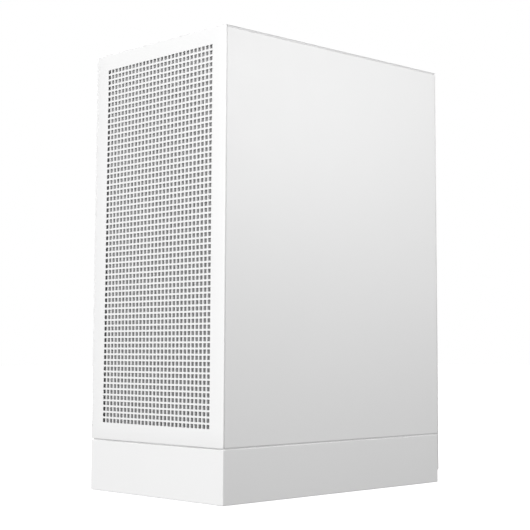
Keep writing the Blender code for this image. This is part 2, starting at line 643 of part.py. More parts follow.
def tube(name, look, points, radius):
    """A cable along a smooth curve through the points."""
    knots = [Vector(p) for p in points]
    ends = [2 * knots[0] - knots[1], *knots, 2 * knots[-1] - knots[-2]]
    route = []
    for a, b, c, d in zip(ends, ends[1:], ends[2:], ends[3:]):
        for t in (0.0, 0.25, 0.5, 0.75):
            route.append(0.5 * (2 * b + (c - a) * t + (2 * a - 5 * b + 4 * c - d) * t ** 2
                                + (3 * b - a - 3 * c + d) * t ** 3))
    route.append(knots[-1])
    curve = bpy.data.curves.new(name, "CURVE")
    curve.dimensions = "3D"
    spline = curve.splines.new("POLY")
    spline.points.add(len(route) - 1)
    for point, place in zip(spline.points, route):
        point.co = (*(place * MM), 1.0)
    curve.bevel_depth = radius * MM
    curve.bevel_resolution = 2
    curve.use_fill_caps = True
    return add(name, curve, look)


def cables():
    block("board_power_plug", BLACK, (58.0, -80.5, 327.0), (BOARD_X - GAP, -69.0, 379.0))
    supply = REAR_Y - GAP - PSU_DEEP - GAP
    level = 84.0                       # both leave the power supply above the drive cage
    tube("board_power_cable", CABLE,
         [(66, supply, level), (66, 15, level), (68, 5, level), (78, -10, level), (90, -28, level),
          (94, -54, level), (94, -96, 85), (94, -118, 92), (94, -127, 112), (94, -127, 150),
          (94, -114, 205), (94, -100, 255),
          (94, -98, 310), (92, -101, 345), (78, -101, 353), (62, -101, 353),
          (48, -96, 353), (43, -86, 353), (46, -76, 353), (52, -75, 353), (57.6, -75, 353)], 5.0)
    tube("graphics_power_cable", CABLE,
         [(-55, supply, level), (-55, 6, level), (-55, -36, 85), (-55, -72, 87), (-55, -92, 98),
          (-55, -97, 118), (-57, -96, 140), (-60, -96, 180), (-66, -90, 222), (-67, -74, 246),
          (-61, -62, 252.4), (-54, -60, 252.4), (-46.4, -60, 252.4)], 3.2)


def build():
    for obj in list(bpy.data.objects):
        bpy.data.objects.remove(obj, do_unlink=True)
    base_plinth()
    chassis()
    panels()
    port_row()
    mainboard()
    cooler()
    fans()
    graphics_card()
    power_supply()
    drives()
    cables()


build()
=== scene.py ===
"""Looks of the desktop tower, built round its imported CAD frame. The frame is in metres, with +Z up and the
front towards -Y; the pieces are worked out in millimetres from the frame's own boxes.
"""

import json
from itertools import product
from math import cos, pi, radians, sin

import bmesh
import bpy
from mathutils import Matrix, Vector


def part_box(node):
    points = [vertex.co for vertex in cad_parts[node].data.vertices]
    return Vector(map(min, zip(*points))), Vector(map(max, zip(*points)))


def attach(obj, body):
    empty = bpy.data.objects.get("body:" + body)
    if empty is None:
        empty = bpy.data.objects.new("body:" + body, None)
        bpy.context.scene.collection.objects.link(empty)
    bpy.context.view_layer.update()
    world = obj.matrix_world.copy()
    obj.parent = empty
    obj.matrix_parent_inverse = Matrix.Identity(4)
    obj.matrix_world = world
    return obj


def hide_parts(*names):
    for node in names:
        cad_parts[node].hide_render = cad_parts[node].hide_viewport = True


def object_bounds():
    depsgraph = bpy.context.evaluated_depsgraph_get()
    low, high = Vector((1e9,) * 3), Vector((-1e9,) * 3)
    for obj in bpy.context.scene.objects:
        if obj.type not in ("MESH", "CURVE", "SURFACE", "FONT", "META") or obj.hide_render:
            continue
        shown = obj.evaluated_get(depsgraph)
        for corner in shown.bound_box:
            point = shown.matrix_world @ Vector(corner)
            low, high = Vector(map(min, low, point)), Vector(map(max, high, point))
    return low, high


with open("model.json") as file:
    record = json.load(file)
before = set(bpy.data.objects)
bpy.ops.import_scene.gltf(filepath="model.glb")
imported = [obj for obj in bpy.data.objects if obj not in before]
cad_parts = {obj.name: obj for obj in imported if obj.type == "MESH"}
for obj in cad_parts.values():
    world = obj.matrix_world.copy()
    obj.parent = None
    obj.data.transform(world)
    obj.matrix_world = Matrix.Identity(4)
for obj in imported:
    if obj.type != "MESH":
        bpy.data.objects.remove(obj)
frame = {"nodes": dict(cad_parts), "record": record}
CAD_BOX = [list(corner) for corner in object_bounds()]
MM = 0.001


# ---- camera, light and floor

AMBIENT = 0.425


def make_camera():
    data = bpy.data.cameras.new("camera")
    data.lens = 87.15
    data.sensor_width = 36.0
    data.shift_x, data.shift_y = -0.1063, -0.0819
    data.clip_end = 50.0
    camera = bpy.data.objects.new("camera", data)
    camera.location = (1.0711, -1.0000, 0.1523)
    camera.rotation_euler = (radians(90 + 5.70), 0, radians(44.69))
    bpy.context.scene.collection.objects.link(camera)
    bpy.context.scene.camera = camera


def area_light(name, place, target, size, power):
    data = bpy.data.lights.new(name, "AREA")
    data.shape = "RECTANGLE"
    data.size, data.size_y = size
    data.energy = power
    lamp = bpy.data.objects.new(name, data)
    lamp.location = place
    lamp.rotation_euler = (Vector(target) - Vector(place)).to_track_quat("-Z", "Y").to_euler()
    lamp.visible_camera = lamp.visible_transmission = False
    bpy.context.scene.collection.objects.link(lamp)


def make_world():
    """White where it is seen, also through glass, and softer as a light, as lamps shape the panels."""
    world = bpy.data.worlds.new("studio")
    world.use_nodes = True
    tree = world.node_tree
    path = tree.nodes.new("ShaderNodeLightPath").outputs
    seen = tree.nodes.new("ShaderNodeMath")
    seen.operation = "MAXIMUM"
    for index, ray in enumerate(("Is Camera Ray", "Is Transmission Ray")):
        tree.links.new(path[ray], seen.inputs[index])
    strength = tree.nodes.new("ShaderNodeMapRange")
    strength.inputs["To Min"].default_value = AMBIENT
    strength.inputs["To Max"].default_value = 1.0
    tree.links.new(seen.outputs["Value"], strength.inputs["Value"])
    sky = tree.nodes["Background"]
    sky.inputs["Color"].default_value = (1, 1, 1, 1)
    tree.links.new(strength.outputs["Result"], sky.inputs["Strength"])
    bpy.context.scene.world = world


def make_floor():
    """A pale floor that is as bright as the backdrop, and adds no light of its own to the panels."""
    bm = bmesh.new()
    bmesh.ops.create_grid(bm, x_segments=1, y_segments=1, size=9.0)
    paint = Nodes("floor_paint", (0.6, 0.6, 0.6), 0.8)
    paint.tint(paint.noise(3.0), (0.58, 0.58, 0.58), (0.62, 0.62, 0.62))
    paint.set("Emission Color", (1, 1, 1, 1))
    paint.set("Emission Strength", 0.86)
    floor = link("floor", bm, paint.mat)
    floor.location.z = CAD_BOX[0][2]
    floor.visible_diffuse = floor.visible_glossy = False


def make_studio():
    make_world()
    bpy.context.scene.view_settings.view_transform = "Standard"
    area_light("key", (-0.02, -2.2, 0.6), (0, -0.16, 0.25), (1.4, 1.0), 34.1)
    area_light("overhead", (0.12, -0.1, 2.4), (0.3, -0.1, 0), (2.4, 2.4), 16)
    area_light("side_wash", (0.64, 0.03, 0.52), (0.11, 0.03, 0.34), (0.9, 0.35), 2.54)
    area_light("left_fill", (-2.4, 0.9, 1.2), (-0.11, 0.1, 0.25), (1.4, 1.4), 30)
    area_light("rear_fill", (-0.6, 2.6, 1.1), (-0.1, 0.16, 0.25), (0.9, 1.2), 26)
    make_floor()


# ---- materials

class Nodes:
    """A node material on one Principled BSDF, with its texture coordinates in metres of the row frame."""

    def __init__(self, name, colour, roughness, metallic=0.0):
        self.mat = bpy.data.materials.new(name)
        self.mat.use_nodes = True
        self.tree = self.mat.node_tree
        self.shader = self.tree.nodes["Principled BSDF"]
        self.set("Base Color", (*colour, 1.0))
        self.set("Roughness", roughness)
        self.set("Metallic", metallic)
        self.coords = self.tree.nodes.new("ShaderNodeTexCoord").outputs["Object"]

    def set(self, socket, value):
        self.shader.inputs[socket].default_value = value

    def node(self, kind, inputs=None, **settings):
        made = self.tree.nodes.new(kind)
        for key, value in settings.items():
            setattr(made, key, value)
        for key, value in (inputs or {}).items():
            if isinstance(value, bpy.types.NodeSocket):
                self.tree.links.new(value, made.inputs[key])
            else:
                made.inputs[key].default_value = value
        return made

    def link(self, output, socket):
        self.tree.links.new(output, self.shader.inputs[socket])

    def noise(self, scale, detail=2.0, stretch=(1, 1, 1)):
        place = self.node("ShaderNodeMapping", {"Vector": self.coords, "Scale": stretch})
        return self.node("ShaderNodeTexNoise", {"Vector": place.outputs["Vector"], "Scale": scale,
                                                "Detail": detail}).outputs["Fac"]

    def waves(self, scale, direction):
        return self.node("ShaderNodeTexWave", {"Vector": self.coords, "Scale": scale},
                         bands_direction=direction).outputs["Fac"]

    def tint(self, factor, low, high):
        """The base colour between two colours by a factor."""
        ramp = self.node("ShaderNodeValToRGB", {"Fac": factor})
        for element, position, colour in zip(ramp.color_ramp.elements, (0.3, 0.7), (low, high)):
            element.position, element.color = position, (*colour, 1)
        self.link(ramp.outputs["Color"], "Base Color")
        return ramp.outputs["Color"]

    def spread(self, factor, low, high):
        out = self.node("ShaderNodeMapRange", {"Value": factor, "From Min": 0.3, "From Max": 0.7,
                                               "To Min": low, "To Max": high})
        self.link(out.outputs["Result"], "Roughness")

    def bump(self, height, depth, strength=1.0):
        bump = self.node("ShaderNodeBump", {"Height": height, "Distance": depth, "Strength": strength})
        self.link(bump.outputs["Normal"], "Normal")


def shade(colour, by):
    return tuple(max(0.0, min(1.0, c * (1 + by))) for c in colour)


def surface(name, colour, roughness, metallic=0.0, vary=0.03, grain=(900, 0.1), stretch=(1, 1, 1)):
    """A finish that varies broadly, with a fine grain in relief: grain is (scale, strength)."""
    made = Nodes(name, colour, roughness, metallic)
    made.tint(made.noise(7.0, 3.0), shade(colour, -vary), shade(colour, vary))
    made.spread(made.noise(40.0, 3.0, stretch), roughness - 0.05, roughness + 0.05)
    made.bump(made.noise(grain[0], 2.0, stretch), 0.1 * MM, grain[1])
    return made.mat


def woven(name, colour, roughness, scale, painted_shade=None):
    """Crossing threads: two sets of waves in colour and relief. The optional height pair paints shade on the
    weave, darker towards the floor: it is the share of the colour that is left at floor level, and the
    height in metres from which all of it is there.
    """
    made = Nodes(name, colour, roughness)
    cross = made.node("ShaderNodeMath", {0: made.waves(scale, "X"), 1: made.waves(scale, "Z")},
                      operation="MAXIMUM").outputs["Value"]
    ramp = made.tint(cross, shade(colour, -0.35), shade(colour, 0.15))
    # painted shade: the weave's colour is darkened towards the floor, by height
    if painted_shade:
        height = made.node("ShaderNodeSeparateXYZ", {"Vector": made.coords}).outputs["Z"]
        share = made.node("ShaderNodeMapRange", {"Value": height, "From Max": painted_shade[1], "To Min": painted_shade[0]})
        shaded_tint = made.node("ShaderNodeVectorMath", {0: ramp, "Scale": share.outputs["Result"]},
                          operation="SCALE")
        made.link(shaded_tint.outputs["Vector"], "Base Color")
    made.bump(cross, 0.15 * MM, 0.6)
    return made.mat


def tinted_glass():
    made = Nodes("tinted_pane", (0.74, 0.76, 0.77), 0.02)
    made.set("Transmission Weight", 1.0)
    made.set("IOR", 1.5)
    made.spread(made.noise(5.0, 3.0), 0.01, 0.04)
    return made.mat


def printed_board():
    """Dark solder mask with faint raised tracks in two directions."""
    made = Nodes("solder_mask", (0.012, 0.015, 0.018), 0.4)
    blocks = made.node("ShaderNodeTexVoronoi", {"Vector": made.coords, "Scale": 90.0},
                       distance="MANHATTAN").outputs["Distance"]
    tracks = made.node("ShaderNodeMath", {0: blocks, 1: made.waves(260, "Z")}, operation="MULTIPLY")
    made.tint(tracks.outputs["Value"], (0.010, 0.013, 0.016), (0.022, 0.027, 0.032))
    made.bump(tracks.outputs["Value"], 0.05 * MM, 0.5)
    made.spread(made.noise(60.0), 0.35, 0.5)
    return made.mat


WHITE = surface("powder_coat_white", (0.80, 0.80, 0.80), 0.42, vary=0.006, grain=(1400, 0.12))
# the filter weave carries painted shade: darker towards the floor, full colour from 0.45 m up
FILTER = woven("filter_weave", (0.46, 0.46, 0.465), 0.8, 620, painted_shade=(0.65, 0.45))
FINISHES = {
    "white_steel": WHITE,
    "inner_steel": surface("powder_coat_inner", (0.80, 0.80, 0.80), 0.5, vary=0.01, grain=(1400, 0.15)),
    "black_plastic": surface("moulded_black", (0.025, 0.025, 0.027), 0.5, grain=(2200, 0.2)),
    "black_steel": surface("textured_black_paint", (0.03, 0.03, 0.032), 0.55, grain=(1100, 0.35)),
    "fan_plastic": surface("moulded_white", (0.78, 0.78, 0.78), 0.42, grain=(2400, 0.1)),
    "foot_rubber": surface("moulded_rubber", (0.04, 0.04, 0.042), 0.85, grain=(1600, 0.3)),
    "tinted_glass": tinted_glass(),
    "filter_mesh": FILTER,
    "bare_metal": surface("brushed_aluminium", (0.72, 0.73, 0.75), 0.34, 1.0, grain=(500, 0.25),
                          stretch=(1, 1, 12)),
    "circuit_board": printed_board(),
    "nickel_pipe": surface("nickel_plate", (0.76, 0.74, 0.72), 0.22, 1.0, grain=(300, 0.05)),
    "cable_sleeve": woven("braided_sleeve", (0.035, 0.035, 0.037), 0.75, 420),
}
GOLD = surface("gold_contact", (0.83, 0.62, 0.28), 0.3, 1.0, grain=(400, 0.05))
GREY = surface("moulded_grey", (0.30, 0.30, 0.31), 0.5, grain=(2200, 0.2))


def finish_nodes():
    """Every CAD node gets the finish of its material slot in the record, and softened edges."""
    for row in frame["record"]["subparts"]:
        node = frame["nodes"][row["node"]]
        for index in range(max(1, len(node.material_slots))):
            if not node.material_slots:
                node.data.materials.append(None)
            node.material_slots[index].material = FINISHES[row["material_slot"]]
        if row["node"] not in ROUNDED:
            soften(node, 0.25)


ROUNDED = ("right_panel", "left_glass", "base_plinth")


def soften(obj, width, segments=2):
    bevel = obj.modifiers.new("Softened", "BEVEL")
    bevel.width = width * MM
    bevel.segments = segments
    bevel.limit_method = "ANGLE"
    bevel.angle_limit = radians(40)
    bevel.harden_normals = True


# ---- mesh helpers

AXES = {"X": lambda a, b, c: (c, a, b), "Y": lambda a, b, c: (a, c, b), "Z": lambda a, b, c: (a, b, c)}


def link(name, bm, mat, smooth=False):
    mesh = bpy.data.meshes.new(name)
    bmesh.ops.recalc_face_normals(bm, faces=bm.faces)
    bm.to_mesh(mesh)
    bm.free()
    obj = bpy.data.objects.new(name, mesh)
    mesh.materials.append(mat)
    bpy.context.scene.collection.objects.link(obj)
    if smooth:
        mesh.shade_smooth()
        mesh.set_sharp_from_angle(angle=radians(35))
    return obj


def box_of(node):
    """A node's lowest and highest corner in millimetres."""
    return tuple(Vector(corner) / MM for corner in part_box(node))


def pivot_of(body):
    """The point of a body's hinge in millimetres."""
    for joint in frame["record"]["behaviour"]["joints"]:
        if joint["child"] == body:
            return Vector(joint["pos_m"]) / MM


def rect(a0, b0, a1, b1):
    return [(a0, b0), (a1, b0), (a1, b1), (a0, b1)]


def turns(count):
    """Angles evenly round a circle."""
    return [2 * pi * i / count for i in range(count)]


def ring(a, b, radius, sides=24):
    return [(a + radius * cos(t), b + radius * sin(t))
            for t in (2 * pi * (i + 0.5) / sides for i in range(sides))]


def rounded(a0, b0, a1, b1, radius, steps=4):
    corners = [(a1 - radius, b1 - radius), (a0 + radius, b1 - radius),
               (a0 + radius, b0 + radius), (a1 - radius, b0 + radius)]
    return [(a + radius * cos(t), b + radius * sin(t))
            for k, (a, b) in enumerate(corners)
            for t in ((k + i / steps) * pi / 2 for i in range(steps + 1))]


def grid_of(a0, b0, a1, b1, pitch):
    """Centres of a square grid that fills a rectangle, evenly inset from its sides."""
    across, up = int((a1 - a0) / pitch), int((b1 - b0) / pitch)
    a, b = (a0 + a1 - (across - 1) * pitch) / 2, (b0 + b1 - (up - 1) * pitch) / 2
    return [(a + i * pitch, b + j * pitch) for i in range(across) for j in range(up)]


def smooth_path(points, steps=6):
    """Points along a smooth curve through the given ones."""
    knots = [Vector(p) for p in points]
    ends = [2 * knots[0] - knots[1], *knots, 2 * knots[-1] - knots[-2]]
    route = []
    for a, b, c, d in zip(ends, ends[1:], ends[2:], ends[3:]):
        for t in (i / steps for i in range(steps)):
            route.append(0.5 * (2 * b + (c - a) * t + (2 * a - 5 * b + 4 * c - d) * t ** 2
                                + (3 * b - a - 3 * c + d) * t ** 3))
    return [*route, knots[-1]]


def carried(path):
    """Each point of a path with its direction and two more square to it, carried along without a twist."""
    normal = (path[1] - path[0]).orthogonal().normalized()
    for i, place in enumerate(path):
        along = (path[min(i + 1, len(path) - 1)] - path[max(i - 1, 0)]).normalized()
        normal = (normal - along * normal.dot(along)).normalized()
        yield place, along, normal, along.cross(normal)


class Shape:
    """A mesh gathered in millimetres from closed forms, then linked as one named piece."""

    def __init__(self):
        self.bm = bmesh.new()

    def verts(self, points):
        return [self.bm.verts.new(Vector(p) * MM) for p in points]

    def skin(self, rings, closed=False):
        """Quads between rings of equal length, each ring closed round."""
        pairs = zip(rings, rings[1:] + rings[:1]) if closed else zip(rings, rings[1:])
        for one, two in pairs:
            for i in range(len(one)):
                j = (i + 1) % len(one)
                self.bm.faces.new([one[i], one[j], two[j], two[i]])

    def loft(self, rings):
        """A skin with a face over its first and last ring."""
        self.skin(rings)
        for end in (rings[0], rings[-1]):
            self.bm.faces.new(end)
        return self

    def prism(self, axis, low, high, outline, holes=()):
        """An outline with holes, extruded along the axis."""
        ends = []
        for level in (low, high):
            rings = [self.verts([AXES[axis](a, b, level) for a, b in loop]) for loop in (outline, *holes)]
            if holes:
                edges = [self.bm.edges.new(pair) for r in rings for pair in zip(r, r[1:] + r[:1])]
                bmesh.ops.triangle_fill(self.bm, use_beauty=True, edges=edges)
            else:
                self.bm.faces.new(rings[0])
            ends.append(rings)
        for one, two in zip(*ends):
            self.skin([one, two])
        return self

    def box(self, low, high):
        return self.prism("Z", low[2], high[2], rect(low[0], low[1], high[0], high[1]))

    def lathe(self, axis, centre, profile, steps=24, closed=False):
        """A profile of (radius, level) turned about the axis through centre; radius 0 closes an end."""
        a, b, c = {"X": (1, 2, 0), "Y": (0, 2, 1), "Z": (0, 1, 2)}[axis]
        rings, tips = [], []
        for radius, level in profile:
            if radius == 0:
                tips.append(self.verts([AXES[axis](centre[a], centre[b], centre[c] + level)])[0])
                continue
            rings.append(self.verts([AXES[axis](centre[a] + radius * cos(t), centre[b] + radius * sin(t),
                                                centre[c] + level) for t in turns(steps)]))
        self.skin(rings, closed)
        for tip, end in zip(tips, (rings[0], rings[-1])):
            for i in range(steps):
                self.bm.faces.new([tip, end[i], end[(i + 1) % steps]])
        return self

    def tube(self, points, radius, sides=8):
        return self.loft([
            self.verts([place + radius * (normal * cos(t) + side * sin(t)) for t in turns(sides)])
            for place, _, normal, side in carried([Vector(p) for p in points])])

    def make(self, name, slot, body="chassis", gone=(), mat=None, soft=0.0):
        """Links the piece: its finish and slot, the body that it rides on and the nodes it stands for."""
        piece = link(name, self.bm, mat or FINISHES[slot], smooth=True)
        if soft:
            soften(piece, soft)
        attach(piece, body)
        if gone:
            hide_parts(*gone)


def screw(shape, axis, centre, radius, out, tall=1.4):
    """A low domed head with a cross recess; out is +1 or -1 along the axis."""
    profile = [(0, 0), (1, 0), (1, 0.4), (0.75, 0.85), (0.38, 1), (0.32, 0.45), (0, 0.4)]
    shape.lathe(axis, centre, [(radius * r, tall * out * level) for r, level in profile], 12)


def screws(name, axis, places, radius, tall=1.4):
    """One piece of equal screws whose heads face along the axis."""
    shape = Shape()
    for place in places:
        screw(shape, axis, place, radius, 1, tall)
    shape.make(name, "bare_metal")


# ---- the punched sheets

PITCH, HOLE_WIDE, HOLE_TALL, CLIP = 6.2, 4.5, 4.25, 0.3
COLUMNS, FRONT_ROWS, TOP_ROWS = 29, 63, 40
SHEET = 0.6                 # thickness seen in the punched holes
FIELD_RISE = 0.35           # the front field's middle above the sheet's
RIM_DEEP = 1.2              # depth of the front sheet with its rim
EDGE_IN = 0.4               # how far the rim behind the front sheet and the beads at its edges lie inside


class Plate:
    """A sheet made of grid cells, each whole, open, or with one hole, with a rounded front edge."""

    def __init__(self, place, across, up, hole_of):
        self.bm = bmesh.new()
        self.place = place
        self.across, self.up = across, up
        self.hole_of = hole_of
        self.seen = {}

    def vert(self, a, b, level):
        key = (round(a, 4), round(b, 4), round(level, 4))
        if key not in self.seen:
            self.seen[key] = self.bm.verts.new(Vector(self.place(a, b, level)) * MM)
        return self.seen[key]

    def face(self, corners):
        self.bm.faces.new([self.vert(*corner) for corner in corners])

    def cell(self, i, j, hole, level):
        a0, a1, b0, b1 = self.across[i], self.across[i + 1], self.up[j], self.up[j + 1]
        corners = [(a1, b1), (a0, b1), (a0, b0), (a1, b0)]
        if hole is None:
            self.face([(*corner, level) for corner in corners])
            return
        centre = Vector(((a0 + a1) / 2, (b0 + b1) / 2))
        for one, two in zip(hole, hole[1:] + hole[:1]):
            first, second = (self.quarter(Vector(p) - centre) for p in (one, two))
            around = [(*one, level), (*two, level), (*corners[second], level)]
            if first != second:
                around.append((*corners[first], level))
            self.face(around)

    @staticmethod
    def quarter(offset):
        if offset.x >= 0:
            return 0 if offset.y >= 0 else 3
        return 1 if offset.y >= 0 else 2

    def build(self, front, back, radius, steps=3):
        cells = {(i, j): self.hole_of(i, j)
                 for i in range(len(self.across) - 1) for j in range(len(self.up) - 1)}
        for (i, j), hole in cells.items():
            if hole == "open":
                continue
            for level in (front, back):
                self.cell(i, j, hole, level)
            if hole:
                for one, two in zip(hole, hole[1:] + hole[:1]):
                    self.face([(*one, front), (*two, front), (*two, back), (*one, back)])
            a0, a1, b0, b1 = self.across[i], self.across[i + 1], self.up[j], self.up[j + 1]
            sides = (((i - 1, j), (a0, b0), (a0, b1)), ((i + 1, j), (a1, b0), (a1, b1)),
                     ((i, j - 1), (a0, b0), (a1, b0)), ((i, j + 1), (a0, b1), (a1, b1)))
            for beside, one, two in sides:
                if cells.get(beside, "open") == "open":
                    self.edge(one, two, front, back, radius if beside not in cells else 0.0, steps)

    def edge(self, one, two, front, back, radius, steps):
        """The sheet's edge between two border points, rounded towards the front where radius isn't 0."""
        turn = 1 if back > front else -1
        rows = [(one, two, front)]
        for k in range(1, steps + 1 if radius else 1):
            angle = k / steps * pi / 2
            rows.append((*(self.pushed(p, radius * sin(angle)) for p in (one, two)),
                         front + turn * radius * (1 - cos(angle))))
        rows.append((*rows[-1][:2], back))
        for (a, b, level), (c, d, after) in zip(rows, rows[1:]):
            self.face([(*a, level), (*b, level), (*d, after), (*c, after)])

    def pushed(self, point, out):
        """A border point moved outwards past the sheet's outermost grid lines."""
        return tuple(value - out if value == grid[0] else value + out if value == grid[-1] else value
                     for value, grid in zip(point, (self.across, self.up)))


def cell_lines(middle, count, low, high, extra=()):
    """Grid lines along one side: the sheet's two edges, the cells' borders and any extra line."""
    start = middle - count * PITCH / 2
    return sorted([low, *(start + i * PITCH for i in range(count + 1)), high, *extra])


def punched(place, across, up, front, back, radius, is_open):
    """A sheet punched with square holes, clipped at their corners, wherever a cell has the field's pitch."""
    def hole_of(i, j):
        a, b = (across[i] + across[i + 1]) / 2, (up[j] + up[j + 1]) / 2
        if is_open(a, b):
            return "open"
        if any(abs(grid[k + 1] - grid[k] - PITCH) > 0.01 for grid, k in ((across, i), (up, j))):
            return None
        wide, tall = HOLE_WIDE / 2, HOLE_TALL / 2
        return [(a + wide, b - tall + CLIP), (a + wide, b + tall - CLIP), (a + wide - CLIP, b + tall),
                (a - wide + CLIP, b + tall), (a - wide, b + tall - CLIP), (a - wide, b - tall + CLIP),
                (a - wide + CLIP, b - tall), (a + wide - CLIP, b - tall)]

    plate = Plate(place, across, up, hole_of)
    plate.build(front, back, radius)
    shape = Shape()
    shape.bm = plate.bm
    return shape


def front_sheet():
    low, high = box_of("front_panel")
    edge = 0.5                          # the rounding of the sheet's rim
    across = cell_lines(0.0, COLUMNS, low.x + edge, high.x - edge)
    up = cell_lines((low.z + high.z) / 2 + FIELD_RISE, FRONT_ROWS, low.z + edge, high.z - edge)
    shape = punched(lambda a, b, y: (a, y, b), across, up, low.y, low.y + SHEET, edge, lambda a, b: False)
    outer = rect(low.x + 9.5, low.z + 8.5, high.x - 9.5, high.z - 9.0)
    inner = rect(low.x + 10.7, low.z + 9.7, high.x - 10.7, high.z - 10.2)
    shape.prism("Y", low.y + SHEET, high.y, outer, [inner])
    outer, inner = (rect(low.x + d, low.z + d, high.x - d, high.z - d) for d in (EDGE_IN, 12))
    shape.prism("Y", low.y + SHEET, low.y + RIM_DEEP, outer, [inner])
    shape.make("punched_front", "white_steel", "front_cover", ["front_panel"])

    low, high = box_of("front_dust_filter")
    weave = Shape().box((low.x + 3, low.y + 0.4, low.z + 3), (high.x - 3, high.y - 0.6, high.z - 3))
    weave.make("front_filter_weave", "filter_mesh", "front_cover", ["front_dust_filter"])
    border = Shape()
    middle = (low.z + high.z) / 2 + FIELD_RISE
    half_wide, half_tall = COLUMNS * PITCH / 2 + 1, FRONT_ROWS * PITCH / 2 + 1
    border.prism("Y", low.y, high.y, rounded(low.x, low.z, high.x, high.z, 4),
                 [rounded(-half_wide, middle - half_tall, half_wide, middle + half_tall, 3)])
    border.make("front_filter_frame", "black_plastic", "front_cover", mat=GREY, soft=0.3)


def top_sheet():
    low, high = box_of("top_panel")
    bezel_low, bezel_high = box_of("port_bezel")
    gap, edge = 0.3, 0.5
    x0, x1 = bezel_low.x - gap, bezel_high.x + gap
    y0, y1 = bezel_low.y - gap, bezel_high.y + gap
    across = cell_lines(0.0, COLUMNS, low.x + edge, high.x - edge, [x1])
    up = cell_lines(12.5, TOP_ROWS, low.y + edge, high.y - edge, [y0, y1])
    shape = punched(lambda a, b, z: (a, b, z), across, up, high.z, high.z - SHEET, edge,
                    lambda a, b: x0 < a < x1 and y0 < b < y1)
    outer = rect(low.x + 10.2, -150.3, high.x - 10.2, 152)
    inner = rect(low.x + 11.4, -149.1, high.x - 11.4, 150.8)
    shape.prism("Z", low.z, high.z - SHEET, outer, [inner])
    shape.make("punched_top", "white_steel", "top_cover", ["top_panel"])

    weave = Shape().box((-92, -115, high.z - 2.2), (92, 140, high.z - 1.6))
    weave.make("top_filter_weave", "filter_mesh", "top_cover")


def port_details():
    """The button's dished cap, a status light and screws that hold the port board."""
    low, high = box_of("power_button")
    x, y = (low.x + high.x) / 2, (low.y + high.y) / 2
    collar, cap = high.x - x, high.x - x - 1.6
    button = Shape().lathe("Z", (x, y, high.z), [
        (0, -0.5), (2.5, -0.45), (4.6, -0.2), (5.6, 0), (cap - 0.5, 0), (cap - 0.15, -0.15), (cap, -0.5),
        (cap, -2.9), (collar, -2.9), (collar, -4.4), (2.2, -4.4), (2.2, low.z - high.z + 0.3),
        (1.9, low.z - high.z), (0, low.z - high.z)], 48)
    button.make("button_cap", "white_steel", "button", ["power_button"])
    lamp = Shape().lathe("Z", (x - 11.5, y, high.z),
                         [(0, 0.1), (0.7, 0.05), (0.9, -0.2), (0.9, -1.2), (0, -1.2)], 16)
    lamp.make("status_lamp", "black_plastic", mat=GREY)
    low, high = box_of("port_board")
    screws("port_board_screws", "Z",
           product((low.x + 3.0, high.x - 3.5), (low.y + 3.0, high.y - 3.0), (high.z,)), 2.4)


# ---- side panels and base

SEAM_FRONT, SEAM_SIDE = 2.2, 1.0   # how far the bead on the plinth lies inside, at the front and the sides


STUD = [(0, 0), (2.6, 0), (2.6, 0.5), (1.3, 0.7), (1.3, 1.6), (1.9, 2.3), (1.3, 3.1), (0, 3.3)]


def panel_studs():
    """Ball studs that hold each side panel to the chassis."""
    for name, node, body, out in (("right", "right_panel", "right_cover", -1),
                                  ("left", "left_panel_frame", "left_cover", 1)):
        low, high = box_of(node)
        x = high.x - 1.2 if out < 0 else high.x
        studs = Shape()
        for y, z in product((low.y + 9, high.y - 9), (low.z + 12, (low.z + high.z) / 2, high.z - 12)):
            studs.lathe("X", (x, y, z), [(r, out * level) for r, level in STUD], 16)
        studs.make(f"{name}_panel_studs", "bare_metal", body)


def seam_beads():
    """Pale sealing beads a little way inside the gaps between the panels."""
    plinth, front, right, top = (
        box_of(node) for node in ("base_plinth", "front_panel", "right_panel", "top_panel"))
    wide, clear = 1.2, 0.08
    base = Shape()
    outer, inner = plinth[1].x - SEAM_SIDE, plinth[1].x - SEAM_SIDE - wide
    near, far = plinth[0].y + SEAM_FRONT, plinth[0].y + SEAM_FRONT + wide
    base.prism("Z", plinth[1].z, right[0].z - clear, [
        (-outer, near), (outer, near), (outer, right[1].y), (inner, right[1].y), (inner, far), (-inner, far),
        (-inner, right[1].y), (-outer, right[1].y)])
    base.make("base_seam_bead", "white_steel")

    edge, lid = Shape(), Shape()
    outer, inner = front[1].x - EDGE_IN, front[1].x - EDGE_IN - wide
    for x0, x1 in ((-outer, -inner), (inner, outer)):
        edge.box((x0, front[0].y + RIM_DEEP, front[0].z + 2), (x1, right[0].y - clear, right[1].z))
        lid.box((x0, right[0].y + 0.3, right[1].z + clear), (x1, right[1].y - 0.3, top[1].z - SHEET - 0.3))
    edge.box((-front[1].x + 4, front[0].y + RIM_DEEP, top[1].z - EDGE_IN - 0.7),
             (front[1].x - 4, right[0].y - clear, top[1].z - EDGE_IN))
    edge.make("front_seam_bead", "white_steel", "front_cover")
    lid.make("top_seam_bead", "white_steel", "top_cover")


def feet():
    for node in ("foot_front_left", "foot_front_right", "foot_rear_left", "foot_rear_right"):
        low, high = box_of(node)
        x, y, r = (low.x + high.x) / 2, (low.y + high.y) / 2, (high.x - low.x) / 2
        foot = Shape().lathe("Z", (x, y, 0), [
            (0, 3.5), (3.2, 3.5), (3.2, 0.4), (3.6, 0), (r - 1.6, 0), (r - 0.5, 0.7), (r, 2.0), (r, 6.0),
            (r - 0.7, 6.6), (r - 0.7, 7.6), (r, 8.2), (r, high.z - 0.5), (r - 0.5, high.z), (0, high.z)], 40)
        foot.make(f"{node}_drum", "foot_rubber", gone=[node])


